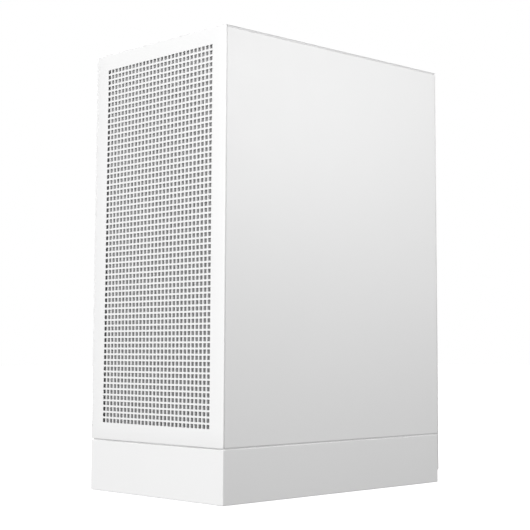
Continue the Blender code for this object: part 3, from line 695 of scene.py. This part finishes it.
def bottom_filter():
    low, high = box_of("bottom_dust_filter")
    y1 = high.y - 3
    frame_piece = Shape()
    cells = [rounded(x0, y0, x1, y2, 2.5) for x0, x1 in ((low.x + 3, -1.5), (1.5, high.x - 3))
             for y0, y2 in ((low.y + 3, 91.5), (94.5, y1 - 3))]
    frame_piece.prism("Z", low.z, high.z, rounded(low.x, low.y, high.x, y1, 3), cells)
    frame_piece.prism("Z", low.z, high.z, rounded(-22, y1 - 0.1, 22, high.y, 1.4))
    frame_piece.make("bottom_filter_frame", "black_plastic", "bottom_filter", ["bottom_dust_filter"],
                     soft=0.3)
    weave = Shape().box((low.x + 2, low.y + 2, low.z + 0.5), (high.x - 2, y1 - 2, low.z + 1.1))
    weave.make("bottom_filter_weave", "filter_mesh", "bottom_filter")


# ---- fans

def blade_section(r, angle, chord, pitch, thick, axis, centre, points=6):
    """A closed cambered section at radius r: its points run along one side and back along the other."""
    section = []
    for side in (1, -1):
        for i in range(points):
            s = (i / (points - 1) - 0.5) * side
            if side < 0 and abs(s) == 0.5:
                continue
            off = 0.10 * chord * (1 - 4 * s * s) + side * thick / 2 * (1 - 4 * s * s) ** 0.5
            around = chord * s * cos(pitch) - off * sin(pitch)
            along = chord * s * sin(pitch) + off * cos(pitch)
            turn = angle + around / r
            a, b = r * cos(turn), r * sin(turn)
            section.append(Vector(AXES[axis](a, b, along)) + centre)
    return section


def rotor(name, node, body, axis, blades, hub, slot):
    """Hub and cambered blades that sweep forward; the hub's closed end is its low one."""
    low, high = box_of(node)
    centre = pivot_of(body)
    along = "XYZ".index(axis)
    tip = max(high[i] - low[i] for i in range(3) if i != along) / 2
    deep = high[along] - low[along]
    half = deep / 2
    shape = Shape()
    shape.lathe(axis, centre, [(0, -half), (hub - 2.5, -half), (hub - 0.8, 0.6 - half), (hub, 2.4 - half),
                               (hub, half), (hub - 1.6, half), (hub - 1.6, 4 - half), (0, 4 - half)], 48)
    stations = 7
    for k in range(blades):
        rings = []
        for i in range(stations):
            part = i / (stations - 1)
            r = hub - 0.6 + (tip - hub + 0.3) * part
            pitch = radians(52 - 24 * part)
            chord = min(2 * pi * r / blades * 0.92 / cos(pitch), (deep - 1.5) / sin(pitch))
            chord *= 1 - 0.08 * part
            angle = 2 * pi * k / blades + 0.34 * part ** 1.3
            rings.append(shape.verts(blade_section(r, angle, chord, pitch, 1.9 - 0.9 * part, axis, centre)))
        shape.loft(rings)
    shape.make(name, slot, body, [node])
    badge = Shape().lathe(axis, centre, [(0, -half - 0.05), (hub - 4.5, -half - 0.05),
                                         (hub - 4.2, 0.2 - half), (0, 0.2 - half)], 48)
    badge.make(f"{name}_badge", slot, body, mat=GREY)


def case_fan(prefix, body):
    """A 120 mm fan: two flanges, a barrel and corner posts between them, struts and motor cup at +Y."""
    low, high = box_of(f"{prefix}_frame")
    cx, cz = (low.x + high.x) / 2, (low.z + high.z) / 2
    half, plate, cup = (high.x - low.x) / 2, 3.2, 21.0
    bore = half - 2.2
    outline = rounded(low.x, low.z, high.x, high.z, 7.0)
    spots = [*product((cx - 52.5, cx + 52.5), (cz - 52.5, cz + 52.5))]
    holes = [ring(cx, cz, bore, 64), *(ring(x, z, 2.2, 12) for x, z in spots)]
    frame_shape = Shape()
    for y in (low.y, high.y - plate):
        frame_shape.prism("Y", y, y + plate, outline, holes)
    centre = Vector((cx, 0, cz))
    frame_shape.lathe("Y", centre, [(bore, low.y + plate), (half - 0.3, low.y + plate),
                                   (half - 0.3, high.y - plate), (bore, high.y - plate)], 64, closed=True)
    for x, z in spots:
        frame_shape.lathe("Y", (x, 0, z), [(2.2, low.y + plate), (4.4, low.y + plate), (4.4, high.y - plate),
                                          (2.2, high.y - plate)], 16, closed=True)
    for k in range(4):
        t = pi / 4 + k * pi / 2
        along, side = Vector((cos(t), 0, sin(t))), Vector((-sin(t), 0, cos(t)))
        rings = []
        for part in range(7):
            r = cup - 1 + (bore + 0.4 - cup + 1) * part / 6
            bend = 3.0 * sin(pi * part / 6)
            wide = 2.6 - 0.8 * sin(pi * part / 6)
            middle = centre + along * r + side * bend
            rings.append(frame_shape.verts([
                middle + side * reach + Vector((0, y, 0))
                for reach, y in ((wide, high.y - 2.9), (-wide, high.y - 2.9),
                                 (0.5 - wide, high.y), (wide - 0.5, high.y))]))
        frame_shape.loft(rings)
    frame_shape.lathe("Y", centre, [(0, high.y - 0.4), (16, high.y - 0.4), (16.5, high.y),
                                   (cup - 0.4, high.y), (cup, high.y - 0.5), (cup, high.y - 3),
                                   (0, high.y - 3)], 48)
    frame_shape.make(f"{prefix}_body", "fan_plastic", gone=[f"{prefix}_frame"])
    rotor(f"{prefix}_impeller", f"{prefix}_rotor", body, "Y", 9, 20.0, "fan_plastic")

    pads = Shape()
    for (x, z), y in product(spots, (low.y + plate + 0.2, high.y - plate - 1.4)):
        pads.lathe("Y", (x, 0, z), [(4.6, y), (6.6, y), (6.6, y + 1.2), (4.6, y + 1.2)], 20, closed=True)
    pads.make(f"{prefix}_pads", "foot_rubber", mat=GREY)


def fans():
    for k in (1, 2, 3):
        case_fan(f"front_fan_{k}", f"front_impeller_{k}")
    case_fan("rear_fan", "rear_impeller")
    case_fan("cooler_fan", "cooler_impeller")
    for k in (1, 2):
        rotor(f"card_impeller_{k}", f"graphics_rotor_{k}", f"graphics_impeller_{k}", "Z", 11, 16.0,
              "black_plastic")
    rotor("supply_impeller", "psu_rotor", "psu_impeller", "Z", 9, 20.0, "black_plastic")


def wire_guard(shape, axis, centre, radii, wire, reach):
    """Rings of wire on four spokes."""
    for r in radii:
        profile = [(r + wire * cos(t), wire * sin(t)) for t in turns(8)]
        shape.lathe(axis, centre, profile, 56, closed=True)
    for k in range(4):
        t = pi / 4 + k * pi / 2
        shape.tube([Vector(AXES[axis](r * cos(t), r * sin(t), wire * 1.8)) + Vector(centre)
                    for r in (radii[0], reach)], wire, 8)


# ---- the rear wall and its ports

SLOT_PITCH, SLOT_TALL = 20.3, 14.5


def rear_wall():
    """The rear wall with vent fields and five more card slots, each behind a vented cover."""
    low, high = box_of("chassis_rear")
    card = box_of("graphics_bracket")
    port = box_of("rear_port_block")
    fan_low, fan_high = box_of("rear_fan_frame")
    fx, fz = (fan_low.x + fan_high.x) / 2, (fan_low.z + fan_high.z) / 2
    x0, x1 = card[0].x - 2, card[1].x - 4
    tops = [243.7 - k * SLOT_PITCH for k in range(7)]
    holes = [rect(-71, 20, 71, 99), rect(port[0].x - 1.5, 264, port[1].x + 1.3, 423), ring(fx, fz, 56, 64)]
    holes += [rect(x0, z, x1, z + SLOT_TALL) for z in tops]
    holes += [rounded(a - 2.4, b - 2.4, a + 2.4, b + 2.4, 0.8, 2)
              for field in ((-96, 426, 96, 468), (-101, 118, -60, 262), (84, 128, 102, 420))
              for a, b in grid_of(*field, 7.5)]
    holes += [ring(fx + sx * 52.5, fz + sz * 52.5, 2.3, 12) for sx in (-1, 1) for sz in (-1, 1)]
    wall = Shape().prism("Y", low.y, high.y, rounded(low.x, low.z, high.x, high.z, 2), holes)
    wall.make("rear_wall", "white_steel", gone=["chassis_rear"])

    covers = Shape()
    for z in tops[2:]:
        slots = [rounded(x, z + 3.5, x + 6.4, z + SLOT_TALL - 3.5, 1.5, 3)
                 for x in (x0 + 6 + k * 9.4 for k in range(11))]
        covers.prism("Y", low.y - 1.6, low.y - 0.4,
                     rect(x0 - 3, z - 1.8, x1 + 2.5, z + SLOT_TALL + 1.8), slots)
        covers.prism("Y", low.y - 0.4, low.y + 0.5, rect(x0 + 0.6, z + 0.6, x0 + 3.0, z + SLOT_TALL - 0.6))
    covers.make("slot_covers", "white_steel")

    fixings = Shape()
    for k in range(7):
        screw(fixings, "Y", (x0 - 5.5, high.y, tops[k] + SLOT_TALL / 2), 3.4, 1, 1.9)
    for sx in (-1, 1):
        for sz in (-1, 1):
            screw(fixings, "Y", (fx + sx * 52.5, high.y, fz + sz * 52.5), 3.6, 1, 1.6)
        for z in (24.0, 95.0):
            screw(fixings, "Y", (sx * 90, high.y, z), 3.2, 1, 1.6)
    fixings.make("rear_screws", "bare_metal")

    guard = Shape()
    wire_guard(guard, "Y", (fx, high.y + 0.4, fz), (14, 25, 36, 47, 56.5), 0.8, 57.5)
    guard.make("rear_fan_guard", "nickel_pipe")


def rear_ports():
    """A metal shield round the sockets, a liner in each, and three round audio sockets above."""
    low, high = box_of("rear_port_block")
    left = 36.0
    sockets = [(270, 15, 14), *((z, 15, 6.0) for z in (289, 299, 312, 322, 335, 345)),
               (358, 15, 13), (377, 30, 18)]
    rounds = [(42.0, 406.0), (52.0, 406.0), (62.0, 406.0)]
    holes = [rect(left - 0.1, z - 0.1, left + w + 0.1, z + t + 0.1) for z, w, t in sockets]
    holes += [ring(x, z, 3.0, 20) for x, z in rounds]
    vents = [rounded(58, z, 70, z + 3.0, 1.4, 3) for z in range(270, 366, 7)]
    shield = Shape().prism("Y", high.y + 0.02, high.y + 0.3,
                           rounded(low.x - 1, 264.5, high.x + 0.8, 422.5, 1.5), [*holes, *vents])
    shield.make("port_shield", "bare_metal")
    liners = Shape()
    for z, w, t in sockets:
        outer, inner = (rect(left + d, z + d, left + w - d, z + t - d) for d in (0.05, 0.5))
        liners.prism("Y", high.y - 11, high.y + 0.25, outer, [inner])
    liners.make("port_liners", "nickel_pipe")
    audio = Shape()
    for x, z in rounds:
        audio.lathe("Y", (x, high.y, z), [(1.8, -0.02), (1.8, 0.7), (2.9, 0.7), (2.9, -0.02)], 20,
                    closed=True)
    audio.make("audio_rims", "black_plastic", mat=GREY)

    low, high = box_of("graphics_bracket")
    video, linings = Shape(), Shape()
    for x in (-38.0, -16.0, 6.0, 28.0):
        video.prism("Y", high.y + 0.02, high.y + 1.4, rounded(x, 244.6, x + 16, 249.6, 0.8, 2),
                    [rounded(x + 0.6, 245.2, x + 15.4, 249.0, 0.5, 2)])
        linings.prism("Y", high.y + 0.05, high.y + 0.35, rounded(x + 0.7, 245.3, x + 15.3, 248.9, 0.4, 2))
        linings.box((x + 2.5, high.y + 0.3, 246.6), (x + 13.5, high.y + 1.1, 247.7))
    video.make("card_video_ports", "nickel_pipe")
    linings.make("card_video_linings", "black_plastic")


# ---- the board

def board_parts():
    low, high = box_of("mainboard")
    face = low.x

    def chips(name, slot, rows, mat=None, soft=0.4):
        """Blocks on the board's face; each row is y, z, depth, height and how far it stands out."""
        shape = Shape()
        for y, z, wide, tall, out in rows:
            shape.box((face - out, y, z), (face, y + wide, z + tall))
        shape.make(name, slot, mat=mat, soft=soft)

    chips("board_chokes", "black_plastic", [(90.0, 297 + k * 11.5, 7.0, 8.5, 6.5) for k in range(9)],
          GREY, 0.8)
    cans = Shape()
    for y, z in [*((86.0, 301 + k * 11.5) for k in range(9)),
                 *((140 + 7 * (k % 2), 136 + 9 * (k // 2)) for k in range(8))]:
        cans.lathe("X", (face, y, z), [(0, 0), (2.5, 0), (2.5, -6.3), (2.3, -6.8), (1.5, -6.9), (1.4, -6.6),
                                       (0, -6.6)], 16)
    cans.make("board_capacitors", "bare_metal")

    sink = Shape()
    sink.prism("Z", 392, 412, [(face, 26), (face, 94), (face - 19, 94), (face - 24, 88), (face - 24, 40),
                               (face - 15, 30)])
    for k in range(11):
        sink.box((face - 27, 40 + k * 4.4, 393), (face - 24, 41.6 + k * 4.4, 411))
    sink.make("top_heatsink", "bare_metal", soft=0.5)
    chipset = Shape().prism("X", face - 8, face,
                            [(-62, 140), (-14, 140), (-6, 148), (-6, 196), (-54, 196), (-62, 188)])
    for k in range(6):
        chipset.prism("X", face - 9.2, face - 8, rect(-57 + k * 8, 144, -54 + k * 8, 192))
    chipset.make("chipset_heatsink", "bare_metal", soft=0.5)
    shields = Shape()
    for y, z, long in ((-22, 216, 96), (0, 158, 84)):
        shields.prism("X", face - 5.4, face - 2.2, rounded(y, z, y + long, z + 22, 2))
        for k in range(3):
            shields.box((face - 6.0, y + 8, z + 5 + k * 5), (face - 5.4, y + long - 12, z + 6.4 + k * 5))
        screw(shields, "X", (face - 5.4, y + long - 5, z + 11), 2.2, -1, 1.0)
    shields.make("storage_shields", "bare_metal", soft=0.3)

    sockets = Shape()
    z0, z1 = 280.4, 412.6
    for k in range(4):
        y = -12.5 - 9.0 * k
        if k % 2 == 0:              # a socket that holds a module
            sockets.box((face - 2.8, y - 3.2, z0), (face, y + 3.2, z1))
        else:
            sockets.prism("Z", z0, z1, [(face, y - 3.2), (face, y + 3.2), (face - 7.5, y + 3.2),
                                        (face - 7.5, y + 0.9), (face - 3, y + 0.9), (face - 3, y - 0.9),
                                        (face - 7.5, y - 0.9), (face - 7.5, y - 3.2)])
        for z, tip in ((z0 - 6.0, z0 - 4.9), (z1 + 0.6, z1 + 4.9)):
            sockets.prism("Y", y - 3.4, y + 3.4, [(face, z), (face, z + 5.4), (face - 15, tip + 2.2),
                                                  (face - 17, tip), (face - 15, tip - 2.2)])
    sockets.make("memory_sockets", "black_plastic")

    slots = Shape()
    for y0, z, y1 in ((22, 184.5, 112), (86, 205, 112), (22, 136, 112)):
        slots.prism("Y", y0, y1, [(face, z), (face - 11, z), (face - 11, z + 3), (face - 4, z + 3),
                                  (face - 4, z + 5), (face - 11, z + 5), (face - 11, z + 8), (face, z + 8)])
    slots.make("card_sockets", "black_plastic", soft=0.3)

    chips("board_connectors", "black_plastic",
          [(98, 414.6, 20, 9.5, 12), (-80, 170, 13, 16, 11), (-80, 190, 13, 16, 11), (-80.5, 300, 8, 22, 9),
           (-80, 385, 6, 12, 8), (60, 416, 11, 6, 7), (20, 416, 11, 6, 7), (-20, 420, 11, 5, 7)], soft=0.5)
    headers = Shape()
    for y, count in ((-58, 5), (-30, 4), (-4, 5), (24, 6), (60, 4), (88, 5), (112, 5)):
        headers.box((face - 2.5, y, 124), (face, y + count * 2.54 + 0.4, 129.4))
        for i in range(count):
            for z in (125.2, 127.8):
                headers.box((face - 8.6, y + 1.1 + i * 2.54, z), (face - 2.5, y + 1.7 + i * 2.54, z + 0.6))
    headers.make("pin_headers", "black_plastic", mat=GOLD)
    chips("board_chips", "black_plastic",
          [(118, 150, 9, 9, 1.6), (96, 196, 14, 14, 1.6), (70, 140, 6, 5, 1.4), (120, 236, 12, 12, 1.6),
           (-70, 232, 7, 10, 1.5), (-64, 262, 10, 10, 1.6), (-64, 130, 10, 6, 1.5), (118, 186, 6, 8, 1.4),
           (20, 268, 8, 8, 1.4), (44, 272, 5, 4, 1.2), (60, 268, 7, 7, 1.4)], soft=0.2)
    cell = Shape().lathe("X", (face, 104, 172), [(0, 0), (11.5, 0), (11.5, -3.0), (10.3, -3.4), (10.2, -3.0),
                                                 (10.0, -4.4), (9.3, -4.7), (0, -4.7)], 40)
    cell.make("coin_cell", "nickel_pipe")

    mounts, posts = Shape(), Shape()
    back, tray = high.x, box_of("motherboard_tray")[0].x
    for y, z in (*product((low.y + 76, high.y - 82), (low.z + 6, low.z + 149, high.z - 6)),
                 (high.y - 6, low.z + 6), (high.y - 6, low.z + 134)):
        screw(mounts, "X", (face, y, z), 3.2, -1)
        posts.lathe("X", (back, y, z), [(0, 0), (2.6, 0), (2.6, tray - back), (0, tray - back)], 6)
    mounts.make("board_screws", "bare_metal")
    posts.make("board_standoffs", "bare_metal", mat=GOLD)

    cover = Shape()
    port = box_of("rear_port_block")
    cover.prism("X", 25.5, 28.6, rect(130, port[0].z - 2, 162.5, port[1].z + 2))
    for k in range(7):
        cover.prism("X", 24.7, 25.5, rounded(134, 282 + k * 18, 158, 286 + k * 18, 1.5))
    cover.make("port_cover", "black_plastic", soft=0.8)


def cooler_parts():
    """Thin fins across the pipes, a top plate, six pipes that bend out of the base, and the mounting bar."""
    low, high = box_of("cooler_fins")
    base_low, base_high = box_of("cooler_base")
    z = (low.z + high.z) / 2
    pipes = [(base_low.y + 4 + k * 6.0, z + side * spread) for k, spread in enumerate((38, 24, 38, 24, 38))
             for side in (-1, 1)]
    holes = [ring(y, pz, 3.4, 16) for y, pz in pipes]
    outline = [(low.y, low.z + 6), (low.y + 4, low.z), (high.y - 4, low.z), (high.y, low.z + 6),
               (high.y, z - 20), (high.y - 5, z - 14), (high.y - 5, z + 14), (high.y, z + 20),
               (high.y, high.z - 6), (high.y - 4, high.z), (low.y + 4, high.z), (low.y, high.z - 6)]
    fins = Shape()
    fin_pitch = 2.2
    for k in range(int((high.x - low.x - 2) / fin_pitch)):
        x = low.x + 2.4 + k * fin_pitch
        fins.prism("X", x, x + 0.4, outline, holes)
    fins.make("cooler_fin_stack", "bare_metal", gone=["cooler_fins"])
    lid = Shape().prism("X", low.x, low.x + 1.4, outline, holes)
    lid.make("cooler_lid", "black_steel", mat=FINISHES["inner_steel"], soft=0.4)

    tubes = Shape()
    mid_y = (base_low.y + base_high.y) / 2
    for y, pz in pipes:
        side = 1 if pz > z else -1
        route = smooth_path([(base_high.x - 9, y, z + side * 3), (base_high.x - 9, y, z + side * 14),
                             (base_high.x - 13, y, pz - side * 5), (base_high.x - 21, y, pz),
                             (high.x + 1, y, pz), (high.x - 20, y, pz)], 4)
        route += [Vector((low.x - 2.5, y, pz))]
        tubes.tube(route, 3.0, 12)
        tubes.lathe("X", (low.x - 2.5, y, pz), [(0, -2.2), (1.2, -2.0), (2.4, -1.1), (3.0, 0), (0, 0.1)], 12)
    tubes.box((base_high.x - 14, mid_y - 19, z - 19), (base_high.x, mid_y + 19, z + 19))
    tubes.make("cooler_pipes", "nickel_pipe", gone=["cooler_base"])
    bar = Shape().prism("X", base_high.x - 17, base_high.x - 14.3,
                        rounded(mid_y - 12, z - 44, mid_y + 12, z + 44, 5), [ring(mid_y, z, 7, 20)])
    for side in (-1, 1):
        screw(bar, "X", (base_high.x - 17, mid_y, z + side * 38), 4.0, -1, 2.5)
        bar.lathe("X", (base_high.x, mid_y, z + side * 38), [(0, 0), (3.4, 0), (3.4, -14.2), (0, -14.2)], 16)
    bar.make("cooler_bracket", "black_steel")
    clips = Shape()
    fan_low, fan_high = box_of("cooler_fan_frame")
    for pz in (fan_low.z + 22, fan_high.z - 22):
        x = fan_low.x - 0.9
        route = smooth_path([(x + 8, fan_low.y - 0.9, pz), (x, fan_low.y - 0.9, pz),
                             (x - 0.6, fan_low.y + 8, pz), (x - 0.6, low.y, pz),
                             (x - 0.6, high.y - 14, pz), (x + 2.5, high.y - 10, pz)], 4)
        clips.tube(route, 0.8, 6)
    clips.make("cooler_fan_clips", "nickel_pipe")


# ---- the graphics card

def card_parts():
    low, high = box_of("graphics_shroud")
    spots = [pivot_of(f"graphics_impeller_{k}") for k in (1, 2)]
    holes = [ring(spot.x, spot.y, 45.0, 64) for spot in spots]
    cut = 12.0                          # the corners' chamfer
    outline = [(low.x + cut, low.y), (high.x - cut, low.y), (high.x, low.y + cut), (high.x, high.y - cut),
               (high.x - cut, high.y), (low.x + cut, high.y), (low.x, high.y - cut), (low.x, low.y + cut)]
    shroud = Shape().prism("Z", low.z, low.z + 2, outline, holes)
    windows = [rounded(y, low.z + 15, y + 46, low.z + 29, 3) for y in (-56, -4, 48, 100)]
    for x in (low.x, high.x - 2):
        shroud.prism("X", x, x + 2, rect(low.y + cut, low.z + 2, high.y - cut, high.z), windows)
    for y in (low.y, high.y - 2):
        shroud.prism("Y", y, y + 2, rect(low.x + cut, low.z + 2, high.x - cut, high.z),
                     [rounded(x, low.z + 8, x + 10, low.z + 28, 2) for x in range(-30, 34, 16)])
    for sx, sy in ((-1, -1), (-1, 1), (1, -1), (1, 1)):
        x, y = (low.x, high.x)[sx > 0], (low.y, high.y)[sy > 0]
        shroud.prism("Z", low.z + 2, high.z, [(x, y - sy * cut), (x - sx * cut, y),
                                              (x - sx * (cut + 2.8), y), (x - sx * 2, y - sy * (cut + 0.8))])
    shroud.make("card_shroud", "black_plastic", gone=["graphics_shroud"], soft=0.4)
    trim = Shape()
    for spot in spots:
        trim.lathe("Z", (spot.x, spot.y, low.z),
                   [(45.2, 1), (45.2, -0.6), (46.2, -1.0), (48.4, -0.3), (48.6, 0.2)], 64, closed=True)
    trim.make("card_fan_rings", "black_plastic", mat=GREY)
    strip = Shape()
    for z0, z1, radius in ((low.z + 4, low.z + 9, 1.6), (high.z - 4, high.z - 1, 1.2)):
        strip.prism("X", low.x - 0.9, low.x - 0.05, rounded(low.y + 16, z0, high.y - 16, z1, radius))
    strip.make("card_edge_trim", "bare_metal", soft=0.2)

    low, high = box_of("graphics_heatsink")
    fins = Shape()
    fin_pitch = 2.6
    for k in range(int((high.y - low.y) / fin_pitch)):
        y = low.y + k * fin_pitch
        fins.box((low.x, y, low.z), (high.x, y + 0.5, high.z - 3))
    fins.box((low.x + 4, low.y, high.z - 3), (high.x - 4, high.y, high.z))
    for x in (-26, -8, 10, 28):
        fins.tube([(x, low.y - 0.8, high.z - 9), (x, high.y + 0.8, high.z - 9)], 3.0, 12)
    fins.make("card_fin_stack", "bare_metal", gone=["graphics_heatsink"])

    low, high = box_of("graphics_board")
    plate = Shape()
    outline = [(low.x, low.y), (56, low.y), (60, low.y + 4), (60, 150), (low.x + 12, 158), (low.x, 150)]
    vents = [rounded(-30 + k * 13, 104, -23 + k * 13, 146, 3) for k in range(6)]
    plate.prism("Z", high.z + 0.3, high.z + 1.9, outline, vents)
    for k in range(3):
        plate.box((low.x + 8, low.y + 34 + k * 9, high.z + 1.9), (48, low.y + 36 + k * 9, high.z + 2.4))
    for x, y in ((-38, -70), (50, -70), (-38, 96), (50, 96), (-4, 14), (24, 44), (-4, 44), (24, 14)):
        screw(plate, "Z", (x, y, high.z + 1.9), 2.2, 1, 0.9)
    plate.make("card_backplate", "black_steel", soft=0.3)
    plug = Shape().box((-58, -69, 248.6), (-46.3, -51, 256.6))
    plug.box((-57, -62.5, 256.6), (-48, -57.5, 258.2))
    plug.make("card_power_plug", "black_plastic", soft=0.6)


# ---- power supply and drives

def supply_parts():
    low, high = box_of("psu_housing")
    sheet = 1.2
    mid_y = (low.y + high.y) / 2
    vents = [(a, b) for a, b in grid_of(-72, low.z + 4, 72, high.z - 3, 6.4) if not (5 < a < 62 and b > 62)]
    shell = Shape()
    shell.prism("Y", high.y - sheet, high.y, rounded(low.x, low.z, high.x, high.z, 1.5),
                [rect(30, 68, 58, 89), rect(10, 68, 24, 89), *(ring(a, b, 2.7, 6) for a, b in vents)])
    shell.prism("Y", low.y, low.y + sheet, rounded(low.x, low.z, high.x, high.z, 1.5))
    shell.prism("Z", high.z - sheet, high.z, rect(low.x, low.y + sheet, high.x, high.y - sheet))
    shell.prism("Z", low.z, low.z + sheet, rect(low.x, low.y + sheet, high.x, high.y - sheet),
                [ring(0, mid_y, 62, 64)])
    for x in (low.x, high.x - sheet):
        shell.prism("X", x, x + sheet, rect(low.y + sheet, low.z + sheet, high.y - sheet, high.z - sheet))
    shell.make("supply_shell", "black_steel", gone=["psu_housing"])
    guard = Shape()
    wire_guard(guard, "Z", (0, mid_y, low.z - 0.1), (14, 26, 38, 50, 61), 0.8, 64)
    guard.make("supply_guard", "nickel_pipe")
    inside = Shape()
    inside.box((-66, low.y + 6, high.z - 4), (66, high.y - 24, high.z - 2.4))
    for x, y, dx, dy, tall in ((-50, 50, 30, 26, 32), (6, 44, 34, 30, 34), (-46, 96, 8, 40, 34),
                               (40, 90, 8, 40, 34)):
        inside.box((x, y, high.z - 4 - tall), (x + dx, y + dy, high.z - 4))
    for x, y in ((-12, 108), (-12, 130), (14, 118)):
        inside.lathe("Z", (x, y, high.z - 4), [(0, 0), (8, 0), (8, -30), (7.4, -31), (0, -31)], 24)
    inside.make("supply_circuits", "black_plastic", mat=GREY, soft=0.5)
    sockets = Shape()
    for x, z in product(range(-64, 42, 21), (30, 50)):
        sockets.box((x, low.y - 1.6, z), (x + 16, low.y, z + 11))
    sockets.box((-63, low.y - 1.6, 78), (-47, low.y - 0.02, 90))
    sockets.box((58, low.y - 1.6, 77), (74, low.y - 0.02, 91))
    sockets.make("supply_sockets", "black_plastic", soft=0.4)


def drive_parts():
    low, high = box_of("hard_drive")
    body = Shape().prism("Z", low.z + 3, high.z - 1.2, rounded(low.x, low.y, high.x, high.y, 3))
    body.prism("Z", high.z - 1.2, high.z, rounded(low.x + 2, low.y + 2, high.x - 2, high.y - 2, 5))
    for x, y in ((-66, -98), (64, -98), (-66, -10), (64, -10), (0, -98), (0, -10)):
        screw(body, "Z", (x, y, high.z), 2.6, 1, 0.9)
    body.lathe("Z", (-20, (low.y + high.y) / 2, high.z),
               [(0, 0.5), (34, 0.5), (36, 0), (36, -0.6), (0, -0.6)], 64)
    body.make("disk_casting", "bare_metal", gone=["hard_drive"], soft=0.5)
    board = Shape().box((low.x + 12, low.y + 6, low.z), (high.x - 12, high.y - 6, low.z + 2.9))
    board.box((high.x - 6, low.y + 20, low.z + 0.5), (high.x - 0.3, low.y + 62, low.z + 7))
    board.make("disk_board", "black_plastic", soft=0.4)

    low, high = box_of("solid_state_drive")
    case = Shape().prism("X", low.x, high.x - 0.8, rounded(low.y, low.z, high.y, high.z, 3))
    case.prism("X", high.x - 0.8, high.x, rounded(low.y + 2, low.z + 2, high.y - 2, high.z - 2, 3))
    case.box((low.x + 1.5, low.y - 5, low.z + 18), (high.x - 1.5, low.y + 0.5, low.z + 60))
    case.make("slim_disk_case", "black_plastic", gone=["solid_state_drive"], soft=0.4)
    screws("slim_disk_screws", "X",
           product((high.x,), (low.y + 6, high.y - 6), (low.z + 6, high.z - 6)), 2.2, 0.9)


# ---- tray and cables

def tray_parts():
    """Rubber lips in the cable holes, tie loops on the tray, and screws in the shroud."""
    low, high = box_of("motherboard_tray")
    lips = Shape()
    for z in (150, 236, 322):
        outer, inner = rounded(-114, z - 2, -88, z + 64, 9), rounded(-109.5, z + 2.5, -92.5, z + 59.5, 6)
        for x0, x1 in ((low.x - 1.1, low.x - 0.1), (high.x + 0.1, high.x + 1.1)):
            lips.prism("X", x0, x1, outer, [inner])
        for y0, y1 in ((-109.6, -103), (-99, -92.4)):
            for k in range(3):
                lips.box((low.x + 0.3, y0, z + 4.5 + k * 18.2), (high.x - 0.3, y1, z + 21.7 + k * 18.2))
    lips.make("tray_grommets", "foot_rubber")
    loops = Shape()
    for y, z in ((-70, 130), (-70, 280), (-70, 420), (40, 130), (40, 270), (130, 200), (130, 420),
                 (40, 430)):
        loops.tube(smooth_path([(high.x - 0.2, y - 6, z), (high.x + 3, y - 5, z), (high.x + 4, y, z),
                                (high.x + 3, y + 5, z), (high.x - 0.2, y + 6, z)], 4), 1.0, 8)
    loops.make("tie_loops", "inner_steel")
    low, high = box_of("psu_shroud")
    fixings = Shape()
    for x, y in product((-92, 92), (-100, 20, 140)):
        screw(fixings, "Z", (x, y, high.z), 3.0, 1)
    for x, z in product((-96, 96), (140, 300, 440)):
        screw(fixings, "Y", (x, box_of("chassis_front")[0].y, z), 3.0, -1)
    fixings.make("chassis_screws", "bare_metal")


CABLE_START = 84.0
BOARD_ROUTE = [(66, 22.9, CABLE_START), (66, 15, CABLE_START), (68, 5, CABLE_START),
               (78, -10, CABLE_START), (90, -28, CABLE_START), (94, -54, CABLE_START),
               (94, -96, 85), (94, -118, 92), (94, -127, 112),
               (94, -127, 150), (94, -114, 205), (94, -100, 255), (94, -98, 310), (92, -101, 345),
               (78, -101, 353), (62, -101, 353), (48, -96, 353), (43, -86, 353), (46, -76, 353),
               (52, -75, 353), (57.6, -75, 353)]
CARD_ROUTE = [(-55, 22.9, CABLE_START), (-55, 6, CABLE_START), (-55, -36, 85), (-55, -72, 87),
              (-55, -92, 98),
              (-55, -97, 118), (-57, -96, 140), (-60, -96, 180), (-66, -90, 222), (-67, -74, 246),
              (-61, -62, 252.4), (-54, -60, 252.4), (-46.4, -60, 252.4)]


def bundle(name, node, route, radius, strand, count, every):
    """Sleeved strands laid round a route, held by a comb at every so many of its points."""
    strands, combs = Shape(), Shape()
    lines = [[] for _ in range(count)]
    for i, (place, along, normal, side) in enumerate(carried(smooth_path(route, 4))):
        for k, line in enumerate(lines):
            t = 2 * pi * k / count + 0.02 * i
            line.append(place + (radius - strand) * (normal * cos(t) + side * sin(t)))
        if i % every == every // 2:
            rings = [combs.verts([place + along * step + (radius + out) * (normal * cos(t) + side * sin(t))
                                  for t in turns(24)])
                     for step, out in ((-1.6, -0.5), (-1.6, 0.5), (1.6, 0.5), (1.6, -0.5))]
            combs.skin(rings, closed=True)
    for line in lines:
        strands.tube(line, strand, 7)
    strands.make(f"{name}_strands", "cable_sleeve", gone=[node])
    combs.make(f"{name}_combs", "black_plastic", mat=GREY)


def cables():
    bundle("board_power", "board_power_cable", BOARD_ROUTE, 5.0, 1.7, 6, 10)
    bundle("card_power", "graphics_power_cable", CARD_ROUTE, 3.2, 1.35, 4, 10)


make_camera()
make_studio()
finish_nodes()
front_sheet()
top_sheet()
port_details()
panel_studs()
seam_beads()
feet()
bottom_filter()
fans()
rear_wall()
rear_ports()
board_parts()
cooler_parts()
card_parts()
supply_parts()
drive_parts()
tray_parts()
cables()
